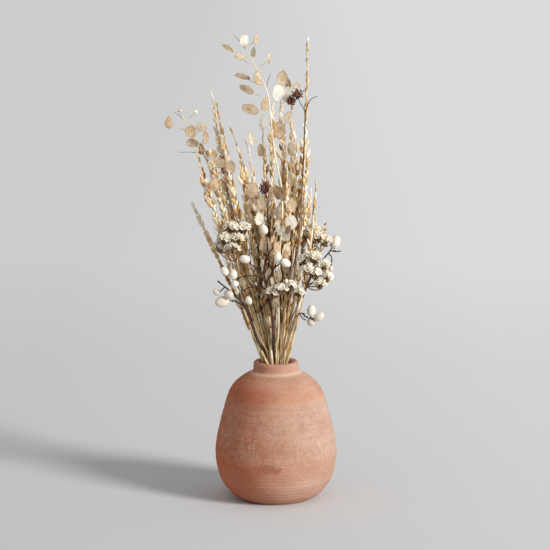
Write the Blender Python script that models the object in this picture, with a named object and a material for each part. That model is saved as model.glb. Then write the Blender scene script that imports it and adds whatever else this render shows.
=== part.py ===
# Terracotta flower vase with its bunch of dried grasses, honesty, statice and tallow berries.
# The vase stands on z = 0 with its axis on Z. The row is in metres and the lists below are in millimetres.
import math

import bmesh
import bpy
import numpy as np
from mathutils import Vector

MM = 0.001

# ---------------------------------------------------------------- vase
VASE_SEGMENTS = 36
FLOOR_Z = 9.0
# Outer side from the lip down to the foot: radius, height.
VASE_OUTER = [
    (24.6, 183.4), (27.4, 182.9), (29.2, 181.0), (29.7, 177.5), (29.6, 173.5), (30.8, 169.8),
    (36.5, 167.0), (46.8, 160.4), (55.8, 152.0), (62.4, 140.8), (68.2, 122.0), (74.3, 100.0),
    (78.4, 80.0), (80.3, 62.0), (78.8, 45.0), (74.2, 29.0), (67.2, 16.5), (58.4, 6.6),
    (49.5, 0.9), (47.5, 0.0),
]
# Inside from the middle of the floor up to the lip.
VASE_INNER = [
    (38.0, FLOOR_Z), (52.0, 12.6), (61.0, 21.0), (68.0, 33.0), (72.2, 47.0), (73.8, 63.0),
    (72.2, 80.0), (68.4, 99.0), (62.4, 120.0), (56.4, 136.5), (49.6, 147.0), (40.5, 155.0),
    (30.0, 161.0), (23.0, 166.0), (21.2, 171.0), (21.0, 177.0), (21.9, 181.2),
]

# ---------------------------------------------------------------- stems in the neck
FOOT_Z = 9.5
NECK_Z = 174.0
BEND_Z = 178.0
SLOT_PITCH = 3.9
SLOT_RADIUS = 14.9
LEAN_TO_SLOT = 30.0
STEM_R = 1.1
TWIG_R = 0.85

# ---------------------------------------------------------------- spacing between stems
GAP = 1.1
SAMPLE_STEP = 4.0
KNOTS = [178.0, 195.0, 214.0, 238.0, 266.0, 300.0, 338.0, 378.0, 420.0, 462.0, 504.0, 546.0, 590.0,
         640.0]
ROUNDS = 420

# Grass spikes: tip x, y, z, sideways bow, length of the head, radius of the head.
GRASS = [
    (41, 5, 605, 10, 190, 2.6), (53, -5, 422, 10, 90, 2.8), (46, 36, 405, 3, 60, 3.0),
    (37, 15, 473, 4, 120, 2.8), (28, -10, 463, 2, 110, 2.8), (18, 9, 534, 4, 150, 2.8),
    (23, 20, 485, 5, 120, 2.8), (10, 12, 521, 3, 130, 2.8), (-3, -8, 522, -2, 120, 2.8),
    (14, -15, 444, 3, 90, 2.8), (-6, 14, 486, 0, 110, 2.8), (-17, -5, 467, 0, 110, 3.0),
    (-38, -10, 473, 4, 120, 3.0), (-59, 0, 493, 16, 140, 3.0), (-77, 5, 524, -4, 150, 3.0),
    (-84, 14, 535, -8, 160, 2.8), (-47, -16, 451, -2, 110, 3.0), (-30, 8, 437, 0, 100, 3.0),
    (-22, -18, 418, 0, 80, 3.0), (-66, -6, 456, -3, 120, 3.0), (-60, -19, 432, -2, 100, 3.0),
    (-81, -12, 463, -4, 120, 3.0), (-93, 10, 461, -4, 120, 3.0), (-106, -2, 474, -6, 120, 3.0),
    (-89, -22, 425, -4, 90, 3.0), (-74, -28, 411, -4, 80, 3.0), (-52, 22, 399, -3, 80, 3.0),
    (32, 27, 425, 2, 90, 3.0), (42, -12, 464, 4, 100, 2.8), (-72, 24, 429, -3, 100, 3.0),
    (-47, 40, 456, -2, 110, 3.0), (-18, 38, 496, 0, 120, 3.0), (12, 45, 468, 2, 110, 3.0),
    (-34, 56, 387, -1, 80, 3.0), (14, 58, 392, 1, 80, 3.0),
]
# Small bead spikes on the right: stem points above the neck, radius of the head.
BEAD_SPIKES = [
    [(36, 14, 267), (52, 18, 310), (61, 18, 333), (63, 18, 363)],
    [(32, 24, 266), (46, 28, 309), (52, 28, 339), (53, 28, 361)],
]
BEAD_HEAD = (34, 2.6)

# Tallow sprigs: main stem, side twigs, berries as x, y, z, radius.
TALLOW = {
    "tallow_sprig_front": {
        "stem": [(1, -18, 222), (-4, -25, 258), (-10, -31, 286), (-13, -35, 299), (-14, -37, 306)],
        "twigs": [
            [(-12, -35, 299), (-24, -40, 303), (-38, -44, 303), (-48, -47, 301), (-54, -48, 301)],
            [(-14, -37, 306), (-24, -42, 313), (-33, -44, 321), (-37, -46, 326)],
            [(-10, -33, 293), (-4, -42, 306), (1, -47, 318), (4, -50, 326)],
            [(-1, -46, 314), (6, -51, 320), (12, -52, 324)],
            [(-9, -31, 283), (-22, -38, 289), (-32, -42, 288), (-40, -45, 285)],
            [(-14, -37, 305), (-12, -41, 322), (-9, -42, 342), (-13, -44, 362)],
            [(-46, -46, 302), (-50, -49, 296), (-51, -50, 294)],
        ],
        "berries": [(-53, -49, 306, 5.2), (-51, -51, 294, 5.4), (-64, -48, 310, 5.2),
                    (-38, -46, 326, 5.8), (4, -50, 329, 5.6), (14, -52, 322, 5.4),
                    (-33, -46, 272, 4.6), (-14, -44, 364, 5.2)],
    },
    "tallow_sprig_left": {
        "stem": [(-12, -7.5, 191), (-25, -13, 214), (-35, -17, 244), (-43, -21, 261), (-49, -24, 272),
                 (-56, -28, 283), (-65, -31, 290), (-76, -33, 295)],
        "twigs": [
            [(-43, -21, 261), (-52, -26, 266), (-59, -30, 269), (-66, -33, 270)],
            [(-54, -27, 281), (-60, -32, 279), (-64, -35, 279)],
            [(-64, -31, 289), (-70, -34, 284), (-74, -36, 280)],
        ],
        "berries": [(-70, -34, 268, 7.2), (-62, -38, 278, 6.2), (-77, -38, 281, 4.2)],
    },
    "tallow_sprig_far_right": {
        "stem": [(19, 10, 221), (32, 14, 261), (45, 16, 293), (58, 16, 317), (70, 15, 328)],
        "twigs": [
            [(69, 15, 327), (72, 14, 332), (74, 14, 336)],
            [(69, 15, 327), (76, 13, 326), (83, 12, 327)],
            [(66, 15, 324), (71, 12, 318), (70, 11, 306)],
        ],
        "berries": [(75, 14, 338, 7.0), (70, 11, 304, 3.4)],
    },
}
# The loose tallow sprig on the right is a straight stem through the front of the neck.
LOOSE_TALLOW = {
    "through": (6.0, -17.6, 178.0),
    "lean": (0.25, -0.03),
    "foot_z": 10.6,
    "straight_to": 236.0,
    "stem": [(28, -20, 247), (33, -20, 250), (38, -20, 249)],
    "twigs": [[(34, -20, 250), (42, -22, 244), (50, -22, 243)],
              [(31, -20, 249), (35, -21, 243), (40, -21, 241)]],
    "berries": [(46, -21, 253, 6.0), (56, -24, 246, 5.8), (46, -18, 238, 5.6)],
}
# The loose grass spike on the far left is straight from the inside wall to its tip.
LOOSE_GRASS = {
    "through": (-9.2, -15.0, 178.0),
    "lean": (-0.49, 0.3),
    "foot_z": 63.0,
    "tip_z": 384.0,
    "head": 130.0,
    "head_r": 3.2,
}

LOOSE = [("tallow_sprig_right", LOOSE_TALLOW, "tallow"), ("grass_stem_left", LOOSE_GRASS, "grass")]

# Statice sprays: main stem, then flower clusters as x, y, z, radius across, radius up.
STATICE = {
    "statice_left": {
        "stem": [(-10.5, -13, 191), (-23, -17, 219), (-36, -26, 267), (-47, -31, 301), (-53, -34, 322)],
        "heads": [(-59, -33, 364, 10), (-43, -31, 364, 9), (-66, -40, 351, 9), (-50, -43, 351, 9),
                  (-72, -32, 339, 9), (-57, -45, 340, 8)],
    },
    "statice_right_high": {
        "stem": [(20, 4, 222), (32, 6, 262), (44, 8, 301), (49, 8, 321)],
        "heads": [(41, 6, 349, 9), (55, 2, 347, 9), (49, 15, 355, 8), (64, 9, 341, 8)],
    },
    "statice_right": {
        "stem": [(14, -16, 219), (24, -24, 246), (35, -30, 274), (41, -33, 289)],
        "heads": [(38, -38, 322, 9), (50, -43, 328, 9), (62, -43, 317, 9), (52, -49, 308, 9),
                  (66, -43, 302, 8), (42, -50, 312, 7), (58, -48, 293, 7)],
    },
    "statice_front": {
        "stem": [(7, -18, 212), (9, -26, 238), (11, -34, 261)],
        "heads": [(-5, -42, 281, 8), (7, -47, 287, 8), (18, -45, 291, 8), (29, -43, 281, 7)],
    },
}

# Honesty branches: main stem, then seed pods as x, y, z, half width, half height, turn, tilt.
HONESTY = {
    "honesty_tall": {
        "stem": [(2, -18, 226), (2, -28, 281), (4, -38, 335), (8, -42, 386), (6, -42, 423),
                 (-3, -41, 466), (-7, -38, 505), (-10, -33, 536), (-18, -28, 559),
                 (-28, -24, 576), (-37, -21, 589), (-41, -19, 597)],
        "pods": [
            (-41, -21, 605, 5.5, 6, 20, 10), (-26, -20, 607, 3.5, 6.5, 50, 5),
            (-29, -18, 590, 3.5, 6, -30, 20),
            (-62, -24, 596, 7, 2.6, 10, 32), (-47, -27, 585, 5.6, 4.2, 20, 20),
            (-43, -31, 560, 8.3, 3.4, 0, 15),
            (-23, -38, 558, 5.5, 8, 25, -10), (-38, -36, 544, 8.5, 4.5, -15, 25),
            (-15, -42, 525, 5, 7.5, 30, 10), (-33, -42, 519, 9.5, 6, 0, 18),
            (-18, -46, 501, 4.5, 6.5, -20, 10), (-9, -24, 582, 2.2, 6.5, 0, 5),
            (-32, -46, 481, 2.8, 8, 20, -15), (-19, -44, 466, 5, 7, -25, 0),
        ],
    },
    "honesty_centre": {
        "stem": [(10, 6, 222), (15, 10, 275), (19, 12, 327), (20, 12, 380), (16, 10, 434),
                 (11, 8, 461), (7, 6, 477), (4, 4, 501), (8, 2, 525), (9, 0, 544)],
        "pods": [
            (8, -4, 555, 7, 8, 10, 0), (16, 3, 546, 4.5, 6.5, -30, 0), (3, -6, 535, 8, 9.5, 15, 0),
            (15, -1, 533, 7.5, 8.5, -10, 0), (26, 5, 544, 5, 4, 40, 0), (5, -6, 487, 6.5, 10, 0, 0),
            (16, 0, 503, 5, 6, 30, 0), (20, 3, 462, 5, 8, -25, 0),
        ],
    },
    "honesty_left": {
        "stem": [(-25, 4, 216), (-43, 8, 268), (-59, 10, 328), (-73, 8, 381), (-86, 4, 428),
                 (-95, 0, 455), (-107, -4, 480), (-117, -8, 498), (-124, -10, 507)],
        "pods": [
            (-141, -12, 498, 4.5, 6.5, 20, 0), (-113, -13, 487, 6.5, 6.5, 10, 0),
            (-110, -12, 472, 7, 5.5, -20, 10), (-99, -8, 492, 6, 5.5, 0, 0),
            (-93, -8, 478, 4, 7, 30, 0), (-99, -1, 462, 5, 6, -30, 0),
            (-106, -6, 512, 2.6, 2.6, 0, 0), (-86, -8, 457, 7, 5, 15, 10), (-61, -14, 441, 6, 7, 0, 0),
            (-82, -14, 418, 6, 8, 20, 0), (-126, -4, 513, 2.6, 2.2, 0, 0), (-74, -12, 446, 6, 6, 0, 0),
        ],
    },
    "honesty_inner": {
        "stem": [(-5, -10, 225), (-4, -16, 279), (-1, -20, 332), (2, -22, 379), (-5, -22, 412),
                 (-10, -20, 437)],
        "pods": [
            (-19, -30, 396, 6, 8, 10, 0), (-6, -31, 408, 5, 8, 40, 0), (4, -33, 384, 6, 8, -20, 0),
            (20, -28, 393, 6, 8, 20, 0), (19, -27, 370, 7, 8, 0, 0), (-14, -30, 341, 8, 9, 10, 0),
            (11, -29, 355, 6.5, 8, -30, 0), (13, -26, 333, 6, 8, 20, 0), (-31, -26, 412, 7, 9, 0, 0),
            (-22, -28, 375, 6, 7, 30, 0),
        ],
    },
}

# Dark seed heads: main stem, side twigs, clusters as x, y, z, radius across, radius up.
SEED_HEADS = {
    "seed_head_tall": {
        "stem": [(12, -4, 224), (23, -8, 291), (31, -10, 344), (33, -12, 397), (36, -12, 451),
                 (37, -12, 490), (38, -12, 514)],
        "twigs": [[(38, -12, 513), (32, -12, 524), (29, -12, 530)],
                  [(38, -12, 513), (44, -14, 528), (53, -16, 534)]],
        "clusters": [(28, -12, 536, 9, 7), (20, -10, 527, 7, 6)],
    },
    "seed_head_low": {
        "stem": [(-7, -8, 224), (-9, -8, 277), (-9, -10, 331), (-10, -12, 378), (-11, -12, 402)],
        "twigs": [],
        "clusters": [(-13, -13, 414, 7.5, 9)],
    },
}


# ---------------------------------------------------------------- small tools
def clear_scene():
    for item in list(bpy.data.objects):
        bpy.data.objects.remove(item, do_unlink=True)


def add_object(name, mesh):
    item = bpy.data.objects.new(name, mesh)
    bpy.context.scene.collection.objects.link(item)
    return item


def give_material(item, colour, roughness):
    material = bpy.data.materials.new(item.name)
    material.use_nodes = True
    shader = material.node_tree.nodes["Principled BSDF"]
    shader.inputs["Base Color"].default_value = (colour[0], colour[1], colour[2], 1.0)
    shader.inputs["Roughness"].default_value = roughness
    item.data.materials.clear()
    item.data.materials.append(material)


def shade_smooth(item):
    for face in item.data.polygons:
        face.use_smooth = True


def evaluated_mesh(item):
    graph = bpy.context.evaluated_depsgraph_get()
    return bpy.data.meshes.new_from_object(item.evaluated_get(graph))


def drop(item):
    data = item.data
    bpy.data.objects.remove(item, do_unlink=True)
    if isinstance(data, bpy.types.Curve):
        bpy.data.curves.remove(data)


def tube(name, points, radii, extra_sides):
    """Round rod through the points, closed at both ends."""
    curve = bpy.data.curves.new(name, "CURVE")
    curve.dimensions = "3D"
    curve.bevel_depth = MM
    curve.bevel_resolution = extra_sides
    curve.use_fill_caps = True
    spline = curve.splines.new("POLY")
    spline.points.add(len(points) - 1)
    for knot, point, radius in zip(spline.points, points, radii):
        knot.co = (point[0] * MM, point[1] * MM, point[2] * MM, 1.0)
        knot.radius = radius
    rod = bpy.data.objects.new(name, curve)
    bpy.context.scene.collection.objects.link(rod)
    mesh = evaluated_mesh(rod)
    drop(rod)
    work = bmesh.new()
    work.from_mesh(mesh)
    bmesh.ops.remove_doubles(work, verts=work.verts, dist=0.00001)
    work.to_mesh(mesh)
    work.free()
    return add_object(name, mesh)


def ball(name, centre, radii, turn, tilt, segments, rings):
    """Low ellipsoid for a berry, a pod or a flower cluster."""
    bpy.ops.mesh.primitive_uv_sphere_add(segments=segments, ring_count=rings, radius=MM)
    item = bpy.context.object
    item.name = name
    item.scale = radii
    item.rotation_euler = (math.radians(tilt * 0.3), math.radians(tilt), math.radians(turn))
    item.location = Vector(centre) * MM
    bpy.context.view_layer.update()
    mesh = item.data
    mesh.transform(item.matrix_world)
    item.matrix_world.identity()
    item.location = (0, 0, 0)
    item.rotation_euler = (0, 0, 0)
    item.scale = (1, 1, 1)
    return item


def unite(name, base, extras):
    """One closed body from a rod and everything that grows on it."""
    base.name = name
    if not extras:
        return base
    group = bpy.data.collections.new(name + "_parts")
    for extra in extras:
        group.objects.link(extra)
    modifier = base.modifiers.new("grow", "BOOLEAN")
    modifier.operation = "UNION"
    modifier.solver = "EXACT"
    modifier.operand_type = "COLLECTION"
    modifier.collection = group
    mesh = evaluated_mesh(base)
    base.modifiers.clear()
    base.data = mesh
    for extra in extras:
        bpy.data.objects.remove(extra, do_unlink=True)
    bpy.data.collections.remove(group)
    return base


# ---------------------------------------------------------------- where every stem runs
def grass_points(tip, bow, steps):
    """Stem points above the neck, without the part in the vase."""
    out = []
    for i in range(1, steps + 1):
        t = i / steps
        lift = 4.0 * t * (1.0 - t)
        out.append([tip[0] * t + bow * lift, tip[1] * t, BEND_Z + (tip[2] - BEND_Z) * t])
    return out


def new_piece(name, kind, above, twigs, balls):
    """Everything the layout needs to know about one stem."""
    return {"name": name, "kind": kind, "above": [list(p) for p in above], "twigs": twigs, "balls": balls,
            "head": 0, "head_r": 0.0}


def berry_balls(berries):
    return [(b[:3], (b[3] * 0.92, b[3] * 0.92, b[3]), 0, 0) for b in berries]


def collect_pieces():
    pieces = []
    for number, (x, y, z, bow, head, head_r) in enumerate(GRASS, 1):
        steps = max(5, round((z - BEND_Z) / 42))
        above = grass_points((x, y, z), bow, steps)
        piece = new_piece("grass_stem_%02d" % number, "grass", above, [], [])
        piece["head"], piece["head_r"] = head, head_r
        pieces.append(piece)
    for number, above in enumerate(BEAD_SPIKES, 1):
        piece = new_piece("bead_spike_%d" % number, "grass", above, [], [])
        piece["head"], piece["head_r"] = BEAD_HEAD
        pieces.append(piece)
    for name, data in TALLOW.items():
        balls = berry_balls(data["berries"])
        pieces.append(new_piece(name, "tallow", data["stem"], data["twigs"], balls))
    for name, data in STATICE.items():
        x, y, z = data["stem"][-1]
        twigs = [[(x, y, z - 2.0), h[:3]] for h in data["heads"]]
        balls = [(h[:3], (h[3], h[3], h[3] * 0.62), 0, 0) for h in data["heads"]]
        pieces.append(new_piece(name, "statice", data["stem"], twigs, balls))
    for name, data in HONESTY.items():
        twigs = [[pedicel_root(data["stem"], pod), pod[:3]] for pod in data["pods"]]
        balls = [(p[:3], (p[3], 1.1, p[4]), p[5], p[6]) for p in data["pods"]]
        pieces.append(new_piece(name, "honesty", data["stem"], twigs, balls))
    for name, data in SEED_HEADS.items():
        balls = [(c[:3], (c[3], c[3], c[4]), 0, 0) for c in data["clusters"]]
        pieces.append(new_piece(name, "seed", data["stem"], data["twigs"], balls))
    return pieces


def pedicel_root(stem, pod):
    """Point on the stem a little below the pod, where its thin stalk leaves."""
    goal = pod[2] - 12.0
    low = stem[0]
    for high in stem[1:]:
        if high[2] >= goal:
            t = max(0.0, min(1.0, (goal - low[2]) / (high[2] - low[2])))
            return tuple(low[i] + (high[i] - low[i]) * t for i in range(3))
        low = high
    return tuple(stem[-1])


def neck_slots():
    """Places for the stems side by side in the neck, in a honeycomb."""
    slots = []
    row_step = SLOT_PITCH * math.sqrt(0.75)
    for row in range(-6, 7):
        for column in range(-6, 7):
            x = (column + 0.5 * (row % 2)) * SLOT_PITCH
            y = row * row_step
            if math.hypot(x, y) <= SLOT_RADIUS:
                slots.append((x, y))
    return slots


def lean_of(piece):
    first = piece["above"][0]
    reach = max(first[2], 262.0)
    low = first
    for high in piece["above"]:
        if high[2] >= reach:
            return (high[0] / (high[2] - BEND_Z), high[1] / (high[2] - BEND_Z))
        low = high
    return (low[0] / (low[2] - BEND_Z), low[1] / (low[2] - BEND_Z))


def give_slots(pieces):
    """Stems that lean out most take the outer places, each as near its own side as is free."""
    slots = neck_slots()
    order = sorted(pieces, key=lambda p: -math.hypot(*lean_of(p)))
    for piece in order:
        lean = lean_of(piece)
        size = max(1e-6, math.hypot(*lean))
        scale = min(LEAN_TO_SLOT, SLOT_RADIUS / size)
        goal = (lean[0] * scale, lean[1] * scale)
        best = min(slots, key=lambda s: math.hypot(s[0] - goal[0], s[1] - goal[1]))
        slots.remove(best)
        piece["slot"] = best


def shift_grass(piece):
    """Grass stems start from their own place in the neck and run to the tip."""
    slot = piece["slot"]
    top = piece["above"][-1][2]
    for point in piece["above"]:
        left = 1.0 - (point[2] - BEND_Z) / (top - BEND_Z)
        point[0] += slot[0] * left
        point[1] += slot[1] * left


def loose_pieces():
    out = []
    for name, data, kind in LOOSE:
        base = data["through"]
        lean = data["lean"]
        top = data.get("straight_to", data.get("tip_z"))
        heights = [data["foot_z"], BEND_Z] + [z for z in KNOTS[2:] if z < top - 9.0] + [top]
        path = [(base[0] + lean[0] * (z - base[2]), base[1] + lean[1] * (z - base[2]), z) for z in heights]
        path += data.get("stem", [])
        piece = new_piece(name, kind, [], data.get("twigs", []), berry_balls(data.get("berries", [])))
        piece["path"] = path
        piece["head"], piece["head_r"] = data.get("head", 0), data.get("head_r", 0)
        piece["loose"] = True
        out.append(piece)
    return out


def radii_along(piece):
    """Stem radius at each path point: the grass head swells and ends in a fine tip."""
    path = piece["path"]
    top = path[-1][2]
    radii = []
    for point in path:
        if piece["kind"] != "grass":
            fade = max(0.0, min(1.0, (point[2] - BEND_Z) / (top - BEND_Z)))
            radii.append(STEM_R + 0.15 - 0.3 * fade)
            continue
        below = top - point[2]
        if below > piece["head"]:
            radii.append(STEM_R)
        else:
            t = 1.0 - below / piece["head"]
            swell = math.sin(math.pi * min(1.0, 0.12 + 0.95 * t))
            radii.append(STEM_R + (piece["head_r"] - STEM_R) * swell)
    if piece["kind"] == "grass":
        radii[-1] = 0.7
    return radii


def samples_of(piece):
    """Points and radii that stand for the piece while the stems are spaced out."""
    out = []
    path = piece["path"]
    radii = radii_along(piece)
    for (a, b, ra, rb) in zip(path, path[1:], radii, radii[1:]):
        if b[2] < BEND_Z - 1.0:
            continue
        length = math.dist(a, b)
        count = max(1, math.ceil(length / SAMPLE_STEP))
        for i in range(count):
            t = i / count
            out.append((*[a[k] + (b[k] - a[k]) * t for k in range(3)], ra + (rb - ra) * t))
    out.append((*path[-1], radii[-1]))
    for twig in piece["twigs"]:
        for a, b in zip(twig, twig[1:]):
            count = max(1, math.ceil(math.dist(a, b) / SAMPLE_STEP))
            for i in range(1, count + 1):
                t = i / count
                out.append((*[a[k] + (b[k] - a[k]) * t for k in range(3)], TWIG_R))
    for centre, size, turn, tilt in piece["balls"]:
        if size[1] < 2.0:
            across = (math.cos(math.radians(turn)) * size[0], math.sin(math.radians(turn)) * size[0])
            for step in (-0.66, 0.0, 0.66):
                x, y = centre[0] + across[0] * step, centre[1] + across[1] * step
                out.append((x, y, centre[2], size[0] * 0.5))
            out.append((centre[0], centre[1], centre[2] + size[2] * 0.6, size[0] * 0.5))
            out.append((centre[0], centre[1], centre[2] - size[2] * 0.6, size[0] * 0.5))
        else:
            out.append((*centre, max(size)))
    return out


def space_out(pieces):
    """Push stems, twigs, pods and heads apart in depth until none of them touch."""
    knots = np.array(KNOTS)
    rows = []
    owner = []
    for index, piece in enumerate(pieces):
        got = samples_of(piece)
        rows += got
        owner += [index] * len(got)
    data = np.array(rows)
    owner = np.array(owner)
    place, radius = data[:, :3], data[:, 3]
    cell = np.clip(np.searchsorted(knots, place[:, 2], side="right") - 1, 0, len(knots) - 2)
    part = np.clip((place[:, 2] - knots[cell]) / (knots[cell + 1] - knots[cell]), 0.0, 1.0)
    order = np.argsort(place[:, 2], kind="stable")
    first, second = [], []
    reach = 2.0 * radius.max() + GAP
    for spot, i in enumerate(order):
        j = spot + 1
        stop = np.searchsorted(place[order, 2], place[i, 2] + reach)
        near = order[j:stop]
        keep = (owner[near] != owner[i]) & (place[near, 2] - place[i, 2] < radius[near] + radius[i] + GAP)
        keep &= np.abs(place[near, 0] - place[i, 0]) < radius[near] + radius[i] + GAP + 5.0
        near = near[keep]
        first.append(np.full(len(near), i))
        second.append(near)
    first = np.concatenate(first)
    second = np.concatenate(second)
    fixed = np.array([bool(p.get("loose")) for p in pieces])
    offset = np.zeros((len(pieces), len(knots), 2))
    for _ in range(ROUNDS):
        move = offset[owner, cell] * (1.0 - part)[:, None] + offset[owner, cell + 1] * part[:, None]
        now = place[:, :2] + move
        gap = now[first] - now[second]
        rise = place[first, 2] - place[second, 2]
        dist = np.sqrt((gap ** 2).sum(axis=1) + rise ** 2)
        need = radius[first] + radius[second] + GAP
        hit = np.nonzero(dist < need)[0]
        if len(hit) == 0:
            break
        a, b = first[hit], second[hit]
        side = np.where(owner[a] < owner[b], 1.0, -1.0)
        push = gap[hit] * np.array([0.35, 1.0])
        push[:, 1] += 0.05 * side
        push /= np.linalg.norm(push, axis=1)[:, None]
        amount = (need - dist)[hit]
        share_a = np.where(fixed[owner[b]], 1.0, 0.5)
        share_b = np.where(fixed[owner[a]], 1.0, 0.5)
        total = np.zeros_like(offset)
        count = np.zeros(offset.shape[:2])
        for who, sign, share in ((a, 1.0, share_a), (b, -1.0, share_b)):
            for shift, weight in ((0, 1.0 - part[who]), (1, part[who])):
                part_of = push * (sign * amount * share * weight)[:, None]
                np.add.at(total, (owner[who], cell[who] + shift), part_of)
                np.add.at(count, (owner[who], cell[who] + shift), weight)
        offset += 1.1 * total / np.maximum(count, 0.6)[:, :, None]
        smooth = offset.copy()
        smooth[:, 1:-1] = 0.90 * offset[:, 1:-1] + 0.05 * (offset[:, :-2] + offset[:, 2:])
        smooth[:, -1] = 0.9 * offset[:, -1] + 0.1 * offset[:, -2]
        offset = smooth
        offset[:, 0] = 0.0
        offset[fixed] = 0.0
    for index, piece in enumerate(pieces):
        piece["offset"] = offset[index]


def moved(piece, point):
    """A point of the piece after the stems have been spaced out."""
    x = np.interp(point[2], KNOTS, piece["offset"][:, 0])
    y = np.interp(point[2], KNOTS, piece["offset"][:, 1])
    if point[2] <= BEND_Z:
        return tuple(point)
    return (point[0] + float(x), point[1] + float(y), point[2])


def nearest_on(lines, point):
    """Nearest place to the point on a set of lines."""
    best = None
    goal = Vector(point)
    for line in lines:
        for low, high in zip(line, line[1:]):
            start = Vector(low)
            along = Vector(high) - start
            t = max(0.0, min(1.0, (goal - start).dot(along) / along.length_squared))
            spot = start + along * t
            if best is None or (spot - goal).length < (best - goal).length:
                best = spot
    return tuple(best)


def join_up(piece):
    """Start every twig on the wood it grows from and give every pod and berry a stalk."""
    stem = piece["path"][1:]
    wood = [stem]
    twigs = []
    if piece["kind"] == "honesty":
        piece["twigs"] = []
        for centre, size, turn, tilt in piece["balls"]:
            twigs.append([pedicel_root(stem, centre), centre])
        piece["twigs"] = twigs
        return
    for twig in piece["twigs"]:
        twig = [nearest_on(wood, twig[0])] + twig[1:]
        wood.append(twig)
        twigs.append(twig)
    if piece["kind"] in ("tallow", "seed"):
        for centre, size, turn, tilt in piece["balls"]:
            root = nearest_on(wood[1:] or wood, centre)
            if math.dist(root, centre) > 1.0:
                twigs.append([root, centre])
    piece["twigs"] = twigs


def at_knots(line):
    """The same line with its points on the spacing heights, plus its own tip."""
    out = []
    top = line[-1][2]
    for height in KNOTS[1:]:
        if height > top - 9.0:
            break
        for low, high in zip(line, line[1:]):
            if low[2] <= height <= high[2]:
                t = (height - low[2]) / (high[2] - low[2])
                out.append(tuple(low[k] + (high[k] - low[k]) * t for k in range(3)))
                break
    return out + [line[-1]]


def lay_out():
    pieces = collect_pieces()
    give_slots(pieces)
    for piece in pieces:
        slot = piece["slot"]
        if piece["kind"] == "grass" and piece["name"].startswith("grass"):
            shift_grass(piece)
        line = [(slot[0], slot[1], NECK_Z)] + [tuple(p) for p in piece["above"]]
        piece["path"] = [(slot[0], slot[1], FOOT_Z), line[0]] + at_knots(line)
    pieces += loose_pieces()
    space_out(pieces)
    for piece in pieces:
        piece["path"] = [moved(piece, p) for p in piece["path"]]
        piece["twigs"] = [[moved(piece, p) for p in twig] for twig in piece["twigs"]]
        piece["balls"] = [(moved(piece, c), size, turn, tilt) for c, size, turn, tilt in piece["balls"]]
        join_up(piece)
    return pieces


# ---------------------------------------------------------------- building
def build_vase():
    outline = [(0.0, FLOOR_Z)] + VASE_INNER + VASE_OUTER + [(0.0, 0.0)]
    mesh = bpy.data.meshes.new("vase_outline")
    points = [(r * MM, 0.0, z * MM) for r, z in outline]
    mesh.from_pydata(points, [(i, i + 1) for i in range(len(points) - 1)], [])
    vase = add_object("vase_body", mesh)
    modifier = vase.modifiers.new("turn", "SCREW")
    modifier.steps = VASE_SEGMENTS
    modifier.render_steps = VASE_SEGMENTS
    modifier.use_merge_vertices = True
    modifier.merge_threshold = 0.00001
    modifier.use_smooth_shade = True
    solid = evaluated_mesh(vase)
    vase.modifiers.clear()
    vase.data = solid
    shade_smooth(vase)
    give_material(vase, (0.55, 0.25, 0.16), 0.9)


COLOURS = {
    "grass": (0.55, 0.38, 0.16),
    "tallow": (0.80, 0.74, 0.64),
    "statice": (0.78, 0.70, 0.55),
    "honesty": (0.62, 0.47, 0.28),
    "seed": (0.16, 0.07, 0.05),
}


def build_piece(piece):
    sides = 1
    rod = tube(piece["name"], piece["path"], radii_along(piece), sides)
    extras = []
    for number, twig in enumerate(piece["twigs"]):
        extras.append(tube("%s_twig_%d" % (piece["name"], number), twig, [TWIG_R] * len(twig), 0))
    for number, (centre, size, turn, tilt) in enumerate(piece["balls"]):
        segments, rings = (8, 4) if piece["kind"] == "tallow" else (7, 4)
        name = "%s_ball_%d" % (piece["name"], number)
        extras.append(ball(name, centre, size, turn, tilt, segments, rings))
    item = unite(piece["name"], rod, extras)
    shade_smooth(item)
    give_material(item, COLOURS[piece["kind"]], 0.75)


def main():
    clear_scene()
    build_vase()
    for piece in lay_out():
        build_piece(piece)


main()
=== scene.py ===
import math

import bpy
import numpy as np
from mathutils import Euler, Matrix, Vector


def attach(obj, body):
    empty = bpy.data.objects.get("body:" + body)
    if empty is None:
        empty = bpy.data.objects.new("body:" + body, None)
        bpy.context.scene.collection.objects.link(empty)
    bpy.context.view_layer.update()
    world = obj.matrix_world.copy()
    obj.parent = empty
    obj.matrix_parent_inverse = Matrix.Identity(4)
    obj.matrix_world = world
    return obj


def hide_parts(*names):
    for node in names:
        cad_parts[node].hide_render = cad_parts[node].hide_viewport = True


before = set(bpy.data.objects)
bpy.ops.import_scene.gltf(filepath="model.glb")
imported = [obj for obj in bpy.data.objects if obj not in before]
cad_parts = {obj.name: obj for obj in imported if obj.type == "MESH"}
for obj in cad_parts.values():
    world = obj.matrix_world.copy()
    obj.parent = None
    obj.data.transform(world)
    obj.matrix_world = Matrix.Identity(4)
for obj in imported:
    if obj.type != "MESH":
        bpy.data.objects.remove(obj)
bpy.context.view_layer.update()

MM = 0.001

# ---------------------------------------------------------------- vase
FLOOR_Z = 9.0
# Outer side from the lip down to the foot: radius, height.
VASE_OUTER = [
    (24.6, 183.4), (27.4, 182.9), (29.2, 181.0), (29.7, 177.5), (29.6, 173.5), (30.8, 169.8),
    (36.5, 167.0), (46.8, 160.4), (55.8, 152.0), (62.4, 140.8), (68.2, 122.0), (74.3, 100.0),
    (78.4, 80.0), (80.3, 62.0), (78.8, 45.0), (74.2, 29.0), (67.2, 16.5), (58.4, 6.6),
    (49.5, 0.9), (47.5, 0.0),
]
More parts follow.
